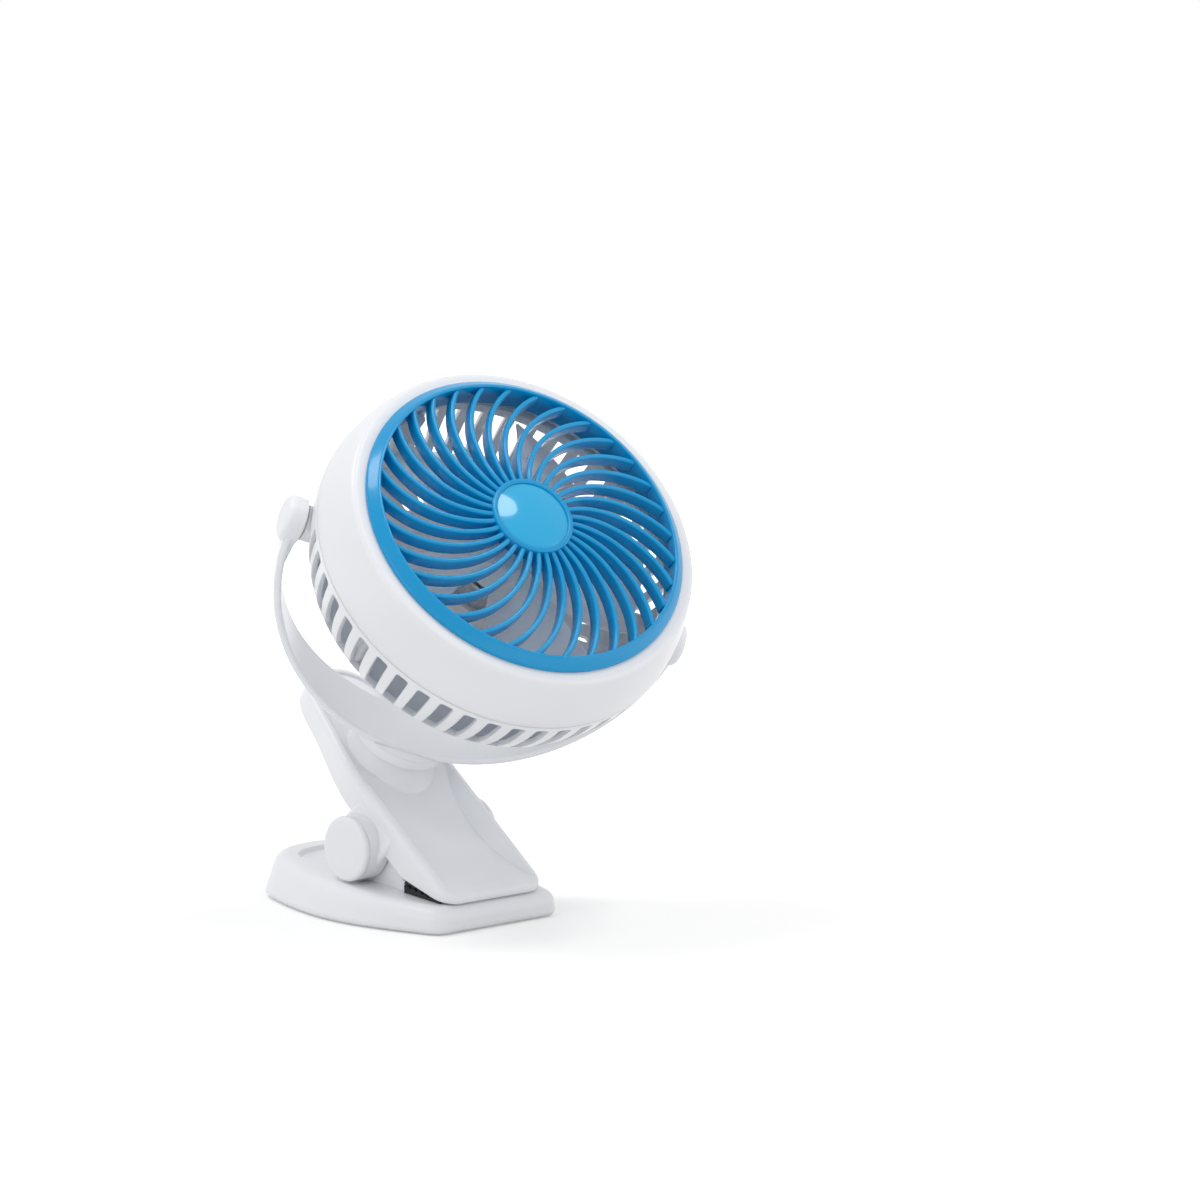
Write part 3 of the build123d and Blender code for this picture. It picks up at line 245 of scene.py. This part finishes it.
# finishes: a plastic gives shade, roughness, grain scale, bump and soft edge after its colour,
# and a metal gives line scale, roughness and bump
whiteShader = {
    "IOR": 1.46, "Specular IOR Level": 0.45,
    "Subsurface Weight": 0.25, "Subsurface Scale": 0.003, "Subsurface Radius": (1.0, 1.0, 1.0),
}
blueShader = {"IOR": 1.48, "Specular IOR Level": 0.25, "Coat Weight": 0.2, "Coat Roughness": 0.08}
capShader = {"IOR": 1.48, "Specular IOR Level": 0.25, "Coat Weight": 0.5, "Coat Roughness": 0.03}
bladeShader = {"Subsurface Weight": 0.4, "Subsurface Scale": 0.004, "IOR": 1.42}
lensShader = {"Transmission Weight": 0.9, "IOR": 1.49}
finishes = {
    "white_plastic": moulded(
        "whiteMouldedPlastic", (0.825, 0.838, 0.868), 0.010, (0.29, 0.33), 2600.0, 0.008, 0.0007,
        **whiteShader),
    "blue_plastic": moulded(
        "blueMouldedPlastic", (0.0, 0.30, 0.62), 0.05, (0.20, 0.24), 2600.0, 0.02, 0.0, **blueShader),
    "frosted_plastic": moulded(
        "frostedBladePlastic", (0.90, 0.92, 0.94), 0.02, (0.34, 0.42), 1500.0, 0.06, 0.0, **bladeShader),
    "button_plastic": moulded("buttonPlastic", (0.80, 0.81, 0.83), 0.02, (0.20, 0.25), 2200.0, 0.03, 0.0004),
    "grey_plastic": moulded("greyPlastic", (0.48, 0.49, 0.52), 0.06, (0.42, 0.56), 1600.0, 0.15, 0.0004),
    "nylon": moulded("naturalNylon", (0.74, 0.72, 0.66), 0.08, (0.45, 0.60), 1600.0, 0.12),
    "black_rubber": moulded("blackRubber", (0.014, 0.014, 0.016), 0.30, (0.62, 0.85), 1300.0, 0.45),
    "cell_wrap": moulded("cellShrinkWrap", (0.03, 0.12, 0.30), 0.10, (0.25, 0.40), 900.0, 0.12),
    "board_green": moulded("boardSolderMask", (0.01, 0.09, 0.035), 0.20, (0.30, 0.45), 1100.0, 0.20),
    "lead_wire": moulded("leadInsulation", (0.42, 0.02, 0.015), 0.10, (0.40, 0.55), 1500.0, 0.10),
    "lens_clear": moulded(
        "clearLens", (0.88, 0.90, 0.92), 0.02, (0.05, 0.12), 900.0, 0.02, 0.0, **lensShader),
    "steel": metal("platedSteel", (0.62, 0.62, 0.64), 1400.0, (0.18, 0.36), 0.10),
    "magnet": metal("ferrite", (0.10, 0.10, 0.11), 700.0, (0.50, 0.75), 0.30),
    "brass": metal("sinteredBronze", (0.60, 0.42, 0.18), 1500.0, (0.30, 0.50), 0.25),
    "copper": metal("copperWinding", (0.72, 0.33, 0.18), 1100.0, (0.22, 0.42), 0.35),
}
glossyBlueCap = moulded(
    "glossyBlueCap", (0.008, 0.40, 0.72), 0.04, (0.10, 0.14), 2600.0, 0.02, 0.0, **capShader)
slotOf = {part["node"]: part["material_slot"] for part in frame["record"]["subparts"]}
for nodeName, node in nodes.items():
    node.data.materials.clear()
    node.data.materials.append(glossyBlueCap if nodeName == "hub_cap" else finishes[slotOf[nodeName]])
print("finishes made:", len(finishes))


# mesh helpers
roundingShare = 0.48  # most of an edge that one rounded corner may take
mergeDistance = 1e-6
sliverLength = 1e-7
flatAngle = math.radians(1.0)
bevelAngle = math.radians(40)
meshOutput = [("Geometry", "NodeSocketGeometry")]


def softProfile(corners, steps=5):
    smooth = []
    count = len(corners)
    for index, (radius, height, soft) in enumerate(corners):
        here = Vector((radius, height))
        back = Vector(corners[index - 1][:2]) - here
        ahead = Vector(corners[(index + 1) % count][:2]) - here
        reach = min(soft, back.length * roundingShare, ahead.length * roundingShare)
        if reach == 0:
            smooth.append(here)
            continue
        start = here + back.normalized() * reach
        end = here + ahead.normalized() * reach
        for step in range(steps + 1):
            share = step / steps
            smooth.append(start * (1 - share) ** 2 + here * 2 * share * (1 - share) + end * share ** 2)
    return smooth


def latheInto(shape, corners, steps):
    profile = softProfile(corners)
    rings = []
    for step in range(steps):
        angle = 2 * math.pi * step / steps
        rings.append([shape.verts.new((p.x * math.cos(angle), p.x * math.sin(angle), p.y)) for p in profile])
    for step in range(steps):
        here, there = rings[step], rings[(step + 1) % steps]
        for index in range(len(profile)):
            follow = (index + 1) % len(profile)
            shape.faces.new((here[index], there[index], there[follow], here[follow]))


def closeShape(shape):
    bmesh.ops.remove_doubles(shape, verts=shape.verts, dist=mergeDistance)
    bmesh.ops.dissolve_degenerate(shape, edges=shape.edges, dist=sliverLength)
    bmesh.ops.recalc_face_normals(shape, faces=shape.faces)


def finishPiece(name, mesh, body, slot, replaced, smoothAngle=35):
    piece = bpy.data.objects.new(name, mesh)
    scene.collection.objects.link(piece)
    for polygon in mesh.polygons:
        polygon.use_smooth = True
    mesh.set_sharp_from_angle(angle=math.radians(smoothAngle))
    mesh.materials.clear()
    mesh.materials.append(finishes[slot])
    if body:
        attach(piece, body)
    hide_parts(*replaced)
    return piece


def mergedCopy(nodeName):
    shape = bmesh.new()
    shape.from_mesh(nodes[nodeName].data)
    bmesh.ops.remove_doubles(shape, verts=shape.verts, dist=mergeDistance)
    bmesh.ops.dissolve_limit(shape, angle_limit=flatAngle, verts=shape.verts, edges=shape.edges)
    mesh = bpy.data.meshes.new(nodeName + "Copy")
    shape.to_mesh(mesh)
    shape.free()
    return mesh


def softenEdges(mesh, width, segments):
    holder = bpy.data.objects.new("holder", mesh)
    scene.collection.objects.link(holder)
    bevel = holder.modifiers.new("softEdges", "BEVEL")
    bevel.width = width
    bevel.segments = segments
    bevel.limit_method = "ANGLE"
    bevel.angle_limit = bevelAngle
    depsgraph = bpy.context.evaluated_depsgraph_get()
    made = bpy.data.meshes.new_from_object(holder.evaluated_get(depsgraph))
    bpy.data.objects.remove(holder)
    return made


def meshFromNodes(tree, values, seedMesh=None):
    holder = bpy.data.objects.new("holder", seedMesh or bpy.data.meshes.new("holder"))
    scene.collection.objects.link(holder)
    modifier = holder.modifiers.new("nodes", "NODES")
    modifier.node_group = tree
    for item in tree.interface.items_tree:
        if item.in_out == "INPUT" and item.name in values:
            modifier[item.identifier] = values[item.name]
    depsgraph = bpy.context.evaluated_depsgraph_get()
    made = bpy.data.meshes.new_from_object(holder.evaluated_get(depsgraph))
    bpy.data.objects.remove(holder)
    return made


def endTree(tree, geometry, start, end):
    realize = addNode(tree, "GeometryNodeRealizeInstances")
    paint = addNode(tree, "GeometryNodeSetMaterial")
    link(tree, geometry, realize.inputs["Geometry"])
    link(tree, realize.outputs["Geometry"], paint.inputs["Geometry"])
    link(tree, start.outputs["Material"], paint.inputs["Material"])
    link(tree, paint.outputs["Geometry"], end.inputs["Geometry"])


# front grille: bezel, hub ring and the swirl of vanes
grille = {
    "vaneCount": 33, "vaneStart": 0.0148, "vaneEnd": 0.0580, "vaneBend": 0.0372, "vaneTurn": 75.4,
    "vaneThickness": 0.0019, "vaneDepth": 0.0056, "hubHeight": 0.0436, "rimHeight": 0.0410,
    "vaneSteps": 28, "vaneSoftSteps": 4, "vaneSoftShare": 0.42,
    "bezel": [  # radius, height and softness of each corner
        (0.0620, 0.03745, 0.0003), (0.0620, 0.0388, 0.0006), (0.0586, 0.0418, 0.0008),
        (0.0576, 0.0418, 0.0004), (0.0576, 0.03645, 0.0003), (0.05835, 0.03645, 0.0002),
        (0.05835, 0.0304, 0.0003), (0.06015, 0.0304, 0.0003), (0.06015, 0.03745, 0.0001),
    ],
    "hub": [
        (0.0158, 0.0380, 0.0005), (0.0158, 0.0444, 0.0008), (0.0138, 0.0444, 0.0005),
        (0.0138, 0.0398, 0.0003), (0.0, 0.0398, 0.0), (0.0, 0.0380, 0.0),
    ],
    "turnSteps": 144,
}


def buildVaneTree():
    inputs = [("Count", "NodeSocketInt", 33)]
    for name in ("Start", "End", "Bend", "Turn", "Thickness", "Depth", "Hub Height", "Rim Height"):
        inputs.append((name, "NodeSocketFloat", 0.01))
    inputs.append(("Material", "NodeSocketMaterial", None))
    tree, start, end = newGroup("grilleVanes", "GeometryNodeTree", inputs, meshOutput)
    arc = addNode(tree, "GeometryNodeCurveArc")
    arc.inputs["Resolution"].default_value = grille["vaneSteps"]
    arc.inputs["Start Angle"].default_value = math.pi / 2
    link(tree, start.outputs["Bend"], arc.inputs["Radius"])
    link(tree, mathNode(tree, "MULTIPLY", start.outputs["Turn"], -1.0), arc.inputs["Sweep Angle"])
    shift = addNode(tree, "ShaderNodeCombineXYZ")
    link(tree, start.outputs["Start"], shift.inputs["X"])
    link(tree, mathNode(tree, "MULTIPLY", start.outputs["Bend"], -1.0), shift.inputs["Y"])
    moved = addNode(tree, "GeometryNodeTransform")
    link(tree, arc.outputs["Curve"], moved.inputs["Geometry"])
    link(tree, shift.outputs["Vector"], moved.inputs["Translation"])
    position = addNode(tree, "GeometryNodeInputPosition")
    distance = addNode(tree, "ShaderNodeVectorMath", operation="LENGTH")
    link(tree, position.outputs["Position"], distance.inputs[0])
    dome = addNode(tree, "ShaderNodeMapRange", interpolation_type="SMOOTHSTEP")
    link(tree, distance.outputs["Value"], dome.inputs["Value"])
    link(tree, start.outputs["Start"], dome.inputs["From Min"])
    link(tree, start.outputs["End"], dome.inputs["From Max"])
    link(tree, start.outputs["Hub Height"], dome.inputs["To Min"])
    link(tree, start.outputs["Rim Height"], dome.inputs["To Max"])
    halfDepth = mathNode(tree, "MULTIPLY", start.outputs["Depth"], 0.5)
    middle = mathNode(tree, "SUBTRACT", dome.outputs["Result"], halfDepth)
    lift = addNode(tree, "ShaderNodeCombineXYZ")
    link(tree, middle, lift.inputs["Z"])
    raised = addNode(tree, "GeometryNodeSetPosition")
    link(tree, moved.outputs["Geometry"], raised.inputs["Geometry"])
    link(tree, lift.outputs["Vector"], raised.inputs["Offset"])
    upright = addNode(tree, "GeometryNodeSetCurveNormal")
    upright.mode = "Z_UP"
    link(tree, raised.outputs["Geometry"], upright.inputs["Curve"])
    section = addNode(tree, "GeometryNodeCurvePrimitiveQuadrilateral")
    link(tree, start.outputs["Thickness"], section.inputs["Width"])
    link(tree, start.outputs["Depth"], section.inputs["Height"])
    soft = addNode(tree, "GeometryNodeFilletCurve")
    soft.mode = "POLY"
    soft.inputs["Count"].default_value = grille["vaneSoftSteps"]
    link(tree, section.outputs["Curve"], soft.inputs["Curve"])
    softRadius = mathNode(tree, "MULTIPLY", start.outputs["Thickness"], grille["vaneSoftShare"])
    link(tree, softRadius, soft.inputs["Radius"])
    bar = addNode(tree, "GeometryNodeCurveToMesh")
    bar.inputs["Fill Caps"].default_value = True
    link(tree, upright.outputs["Curve"], bar.inputs["Curve"])
    link(tree, soft.outputs["Curve"], bar.inputs["Profile Curve"])
    points = addNode(tree, "GeometryNodePoints")
    link(tree, start.outputs["Count"], points.inputs["Count"])
    index = addNode(tree, "GeometryNodeInputIndex")
    share = mathNode(tree, "DIVIDE", index.outputs["Index"], start.outputs["Count"])
    spin = addNode(tree, "ShaderNodeCombineXYZ")
    link(tree, mathNode(tree, "MULTIPLY", share, 2 * math.pi), spin.inputs["Z"])
    copies = addNode(tree, "GeometryNodeInstanceOnPoints")
    link(tree, points.outputs["Points"], copies.inputs["Points"])
    link(tree, bar.outputs["Mesh"], copies.inputs["Instance"])
    link(tree, spin.outputs["Vector"], copies.inputs["Rotation"])
    endTree(tree, copies.outputs["Instances"], start, end)
    return tree


def makeFrontGrille():
    values = {
        "Count": grille["vaneCount"], "Start": grille["vaneStart"], "End": grille["vaneEnd"],
        "Bend": grille["vaneBend"], "Turn": math.radians(grille["vaneTurn"]),
        "Thickness": grille["vaneThickness"], "Depth": grille["vaneDepth"],
        "Hub Height": grille["hubHeight"], "Rim Height": grille["rimHeight"],
        "Material": finishes["blue_plastic"],
    }
    vanes = meshFromNodes(buildVaneTree(), values)
    shape = bmesh.new()
    latheInto(shape, grille["bezel"], grille["turnSteps"])
    latheInto(shape, grille["hub"], grille["turnSteps"])
    closeShape(shape)
    shape.from_mesh(vanes)
    mesh = bpy.data.meshes.new("frontGrille")
    shape.to_mesh(mesh)
    shape.free()
    bpy.data.meshes.remove(vanes)
    mesh.transform(headPlace)
    finishPiece("frontGrille", mesh, "head", "blue_plastic", ["front_grille"])
    print("front grille made:", len(mesh.polygons), "faces")


makeFrontGrille()

# torsion spring: one wire coiled along the hinge pin, built in one fixed shape that does not wind up as the clip
# opens
spring = {
    "wireRadius": 0.0008, "coilRadius": 0.0052, "halfLength": 0.0056, "turns": 4,
    "armSlope": 37.5, "rearLegDrop": 24.0, "armLeg": 0.0150, "rearLeg": 0.0138,
    "stepsPerTurn": 40, "wireSides": 14,
}


def springPath():
    first = math.pi / 2 + math.radians(spring["armSlope"])
    last = 2 * math.pi * (spring["turns"] + 1) - math.pi / 2 - math.radians(spring["rearLegDrop"])
    count = round((last - first) / (2 * math.pi) * spring["stepsPerTurn"])
    points = []
    for step in range(count + 1):
        angle = first + (last - first) * step / count
        across = spring["halfLength"] * (2 * step / count - 1)
        radius = spring["coilRadius"]
        around = Vector((across, radius * math.cos(angle), radius * math.sin(angle)))
        points.append(hingeCentre + around)
    armWay = (points[0] - points[1]).normalized()
    rearWay = (points[-1] - points[-2]).normalized()
    return [points[0] + armWay * spring["armLeg"], *points, points[-1] + rearWay * spring["rearLeg"]]


def buildWireTree():
    inputs = [("Geometry", "NodeSocketGeometry", None), ("Radius", "NodeSocketFloat", 0.0008),
              ("Material", "NodeSocketMaterial", None)]
    tree, start, end = newGroup("springWire", "GeometryNodeTree", inputs, meshOutput)
    line = addNode(tree, "GeometryNodeMeshToCurve")
    link(tree, start.outputs["Geometry"], line.inputs["Mesh"])
    section = addNode(tree, "GeometryNodeCurvePrimitiveCircle")
    section.inputs["Resolution"].default_value = spring["wireSides"]
    link(tree, start.outputs["Radius"], section.inputs["Radius"])
    wire = addNode(tree, "GeometryNodeCurveToMesh")
    wire.inputs["Fill Caps"].default_value = True
    link(tree, line.outputs["Curve"], wire.inputs["Curve"])
    link(tree, section.outputs["Curve"], wire.inputs["Profile Curve"])
    endTree(tree, wire.outputs["Mesh"], start, end)
    return tree


def makeSpring():
    path = springPath()
    seed = bpy.data.meshes.new("springPath")
    seed.from_pydata([tuple(point) for point in path], [(n, n + 1) for n in range(len(path) - 1)], [])
    values = {"Radius": spring["wireRadius"], "Material": finishes["steel"]}
    mesh = meshFromNodes(buildWireTree(), values, seed)
    piece = finishPiece("torsionSpringWire", mesh, None, "steel", ["torsion_spring"])
    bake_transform(piece)
    print("spring made:", len(mesh.polygons), "faces")


makeSpring()

# rubber: jaw pads with softened edges, and a sheet with small round nubs under the base
rubber = {
    "padEdge": 0.00030, "padSegments": 3,
    "pads": [("lowerJawPad", "base", "lower_jaw_pad"), ("upperJawPad", "arm", "upper_jaw_pad")],
    "sheetLift": 0.0005, "nubRadius": 0.0009, "nubPitch": 0.0030, "nubSides": 8, "edgeRoom": 0.94,
    "nubTipShare": 0.7, "nubDepthShare": 1.5, "castDrop": 0.01,
}


def makeJawPads():
    for name, body, nodeName in rubber["pads"]:
        mesh = softenEdges(mergedCopy(nodeName), rubber["padEdge"], rubber["padSegments"])
        finishPiece(name, mesh, body, "black_rubber", [nodeName])
    print("jaw pads made")


def buildNubTree():
    inputs = [
        ("Geometry", "NodeSocketGeometry", None), ("Centre", "NodeSocketVector", None),
        ("Width", "NodeSocketFloat", 0.06), ("Length", "NodeSocketFloat", 0.1),
        ("Columns", "NodeSocketInt", 10), ("Rows", "NodeSocketInt", 10),
        ("Radius", "NodeSocketFloat", 0.001), ("Height", "NodeSocketFloat", 0.0005),
        ("Sides", "NodeSocketInt", 8), ("Room", "NodeSocketFloat", 0.95),
        ("Material", "NodeSocketMaterial", None),
    ]
    tree, start, end = newGroup("sheetNubs", "GeometryNodeTree", inputs, meshOutput)
    grid = addNode(tree, "GeometryNodeMeshGrid")
    gridSockets = {"Width": "Size X", "Length": "Size Y", "Columns": "Vertices X", "Rows": "Vertices Y"}
    for source, target in gridSockets.items():
        link(tree, start.outputs[source], grid.inputs[target])
    centred = addNode(tree, "GeometryNodeTransform")
    link(tree, grid.outputs["Mesh"], centred.inputs["Geometry"])
    link(tree, start.outputs["Centre"], centred.inputs["Translation"])
    spots = addNode(tree, "GeometryNodeMeshToPoints")
    link(tree, centred.outputs["Geometry"], spots.inputs["Mesh"])
    shrunk = addNode(tree, "GeometryNodeTransform")
    link(tree, start.outputs["Geometry"], shrunk.inputs["Geometry"])
    room = addNode(tree, "ShaderNodeCombineXYZ")
    room.inputs["Z"].default_value = 1.0
    link(tree, start.outputs["Room"], room.inputs["X"])
    link(tree, start.outputs["Room"], room.inputs["Y"])
    link(tree, room.outputs["Vector"], shrunk.inputs["Scale"])
    over = addNode(tree, "GeometryNodeRaycast")
    over.inputs["Ray Direction"].default_value = (0.0, 0.0, 1.0)
    link(tree, shrunk.outputs["Geometry"], over.inputs["Target Geometry"])
    below = addNode(tree, "ShaderNodeVectorMath", operation="SUBTRACT")
    position = addNode(tree, "GeometryNodeInputPosition")
    link(tree, position.outputs["Position"], below.inputs[0])
    below.inputs[1].default_value = (0.0, 0.0, rubber["castDrop"])
    link(tree, below.outputs["Vector"], over.inputs["Source Position"])
    nub = addNode(tree, "GeometryNodeMeshCone", fill_type="NGON")
    link(tree, start.outputs["Sides"], nub.inputs["Vertices"])
    tipRadius = mathNode(tree, "MULTIPLY", start.outputs["Radius"], rubber["nubTipShare"])
    link(tree, tipRadius, nub.inputs["Radius Bottom"])
    link(tree, start.outputs["Radius"], nub.inputs["Radius Top"])
    link(tree, start.outputs["Height"], nub.inputs["Depth"])
    copies = addNode(tree, "GeometryNodeInstanceOnPoints")
    link(tree, spots.outputs["Points"], copies.inputs["Points"])
    link(tree, over.outputs["Is Hit"], copies.inputs["Selection"])
    link(tree, nub.outputs["Mesh"], copies.inputs["Instance"])
    joined = addNode(tree, "GeometryNodeJoinGeometry")
    link(tree, copies.outputs["Instances"], joined.inputs["Geometry"])
    link(tree, start.outputs["Geometry"], joined.inputs["Geometry"])
    endTree(tree, joined.outputs["Geometry"], start, end)
    return tree


def makeNonSlipSheet():
    low, high = (Vector(corner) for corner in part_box("non_slip_sheet"))
    seed = mergedCopy("non_slip_sheet")
    for vertex in seed.vertices:
        if vertex.co.z < (low.z + high.z) / 2:
            vertex.co.z = low.z + rubber["sheetLift"]
    size = high - low
    values = {
        "Width": size.x, "Length": size.y,
        "Columns": round(size.x / rubber["nubPitch"]) + 1, "Rows": round(size.y / rubber["nubPitch"]) + 1,
        "Centre": ((low.x + high.x) / 2, (low.y + high.y) / 2, low.z),
        "Radius": rubber["nubRadius"], "Height": rubber["sheetLift"] * rubber["nubDepthShare"],
        "Sides": rubber["nubSides"], "Room": rubber["edgeRoom"],
        "Material": finishes["black_rubber"],
    }
    mesh = meshFromNodes(buildNubTree(), values, seed)
    finishPiece("nonSlipSheet", mesh, "base", "black_rubber", ["non_slip_sheet"])
    print("non-slip sheet made:", len(mesh.polygons), "faces")


makeJawPads()
makeNonSlipSheet()

# stage: floor, world, lamps and camera
studio = {
    "floorSize": 14.0, "floorTone": 0.84, "floorGlow": 0.25, "fadeStart": 0.20, "fadeEnd": 0.80,
    "worldFill": 0.68,
    "lamps": [  # name, place, size and power
        ("sideBox", (-1.7, -0.1, 0.55), 1.0, 3.6),
        ("topBox", (0.28, -0.55, 1.6), 0.46, 4.0),
        ("glintBox", (-0.53, 0.39, 1.5), 0.5, 5.0),
        ("fillBox", (0.9, -1.3, 0.6), 1.2, 3.0),
    ],
    "lampAim": (0.0, -0.03, 0.11),
    "cameraPlace": (-0.96972, -1.13430, 0.28918),
    "cameraLook": (0.6835152, 0.72075461, -0.11541128),
    "cameraLens": 120.1,
    "sensorWidth": 36.0,
}


def aimed(place, target):
    return (Vector(target) - Vector(place)).to_track_quat("-Z", "Y").to_euler()


def makeFloor():
    mesh = bpy.data.meshes.new("studioFloor")
    shape = bmesh.new()
    bmesh.ops.create_grid(shape, x_segments=2, y_segments=2, size=studio["floorSize"])
    shape.to_mesh(mesh)
    shape.free()
    floor = bpy.data.objects.new("studioFloor", mesh)
    scene.collection.objects.link(floor)
    material = bpy.data.materials.new("paleFloor")
    material.use_nodes = True
    tree = material.node_tree
    tree.nodes.clear()
    output = addNode(tree, "ShaderNodeOutputMaterial")
    diffuse = addNode(tree, "ShaderNodeBsdfDiffuse")
    tone = studio["floorTone"]
    diffuse.inputs["Color"].default_value = (tone, tone, tone, 1.0)
    glow = addNode(tree, "ShaderNodeEmission")
    rays = addNode(tree, "ShaderNodeLightPath")
    seen = mathNode(tree, "MAXIMUM", rays.outputs["Is Camera Ray"], rays.outputs["Is Glossy Ray"])
    seen = mathNode(tree, "MAXIMUM", seen, rays.outputs["Is Transmission Ray"])
    coordinates = addNode(tree, "ShaderNodeTexCoord")
    distance = addNode(tree, "ShaderNodeVectorMath", operation="LENGTH")
    link(tree, coordinates.outputs["Object"], distance.inputs[0])
    fade = addNode(tree, "ShaderNodeMapRange", interpolation_type="SMOOTHSTEP")  # far floor turns white
    fade.inputs["From Min"].default_value = studio["fadeStart"]
    fade.inputs["From Max"].default_value = studio["fadeEnd"]
    fade.inputs["To Min"].default_value = studio["floorGlow"]
    fade.inputs["To Max"].default_value = 1.0
    link(tree, distance.outputs["Value"], fade.inputs["Value"])
    link(tree, mathNode(tree, "MULTIPLY", seen, fade.outputs["Result"]), glow.inputs["Strength"])
    both = addNode(tree, "ShaderNodeAddShader")
    link(tree, diffuse.outputs["BSDF"], both.inputs[0])
    link(tree, glow.outputs["Emission"], both.inputs[1])
    link(tree, both.outputs["Shader"], output.inputs["Surface"])
    mesh.materials.append(material)


def makeWorld():
    world = bpy.data.worlds.new("studioWorld")
    scene.world = world
    world.use_nodes = True
    tree = world.node_tree
    background = tree.nodes["Background"]
    rays = addNode(tree, "ShaderNodeLightPath")
    seen = mathNode(tree, "MAXIMUM", rays.outputs["Is Camera Ray"], rays.outputs["Is Glossy Ray"])
    seen = mathNode(tree, "MAXIMUM", seen, rays.outputs["Is Transmission Ray"])
    spread = addNode(tree, "ShaderNodeMapRange")
    spread.inputs["To Min"].default_value = studio["worldFill"]
    spread.inputs["To Max"].default_value = 1.0
    link(tree, seen, spread.inputs["Value"])
    link(tree, spread.outputs["Result"], background.inputs["Strength"])
    background.inputs["Color"].default_value = (1.0, 1.0, 1.0, 1.0)


def makeLamps():
    for name, place, size, power in studio["lamps"]:
        light = bpy.data.lights.new(name, "AREA")
        light.shape = "DISK"
        light.size = size
        light.energy = power
        lamp = bpy.data.objects.new(name, light)
        scene.collection.objects.link(lamp)
        lamp.location = place
        lamp.rotation_euler = aimed(place, studio["lampAim"])


def makeCamera():
    data = bpy.data.cameras.new("photoCamera")
    data.sensor_width = studio["sensorWidth"]
    data.lens = studio["cameraLens"]
    camera = bpy.data.objects.new("photoCamera", data)
    scene.collection.objects.link(camera)
    place = Vector(studio["cameraPlace"])
    camera.location = place
    camera.rotation_euler = aimed(place, place + Vector(studio["cameraLook"]))
    scene.camera = camera


makeFloor()
makeWorld()
makeLamps()
makeCamera()
scene.view_settings.view_transform = "Standard"
print("stage made")
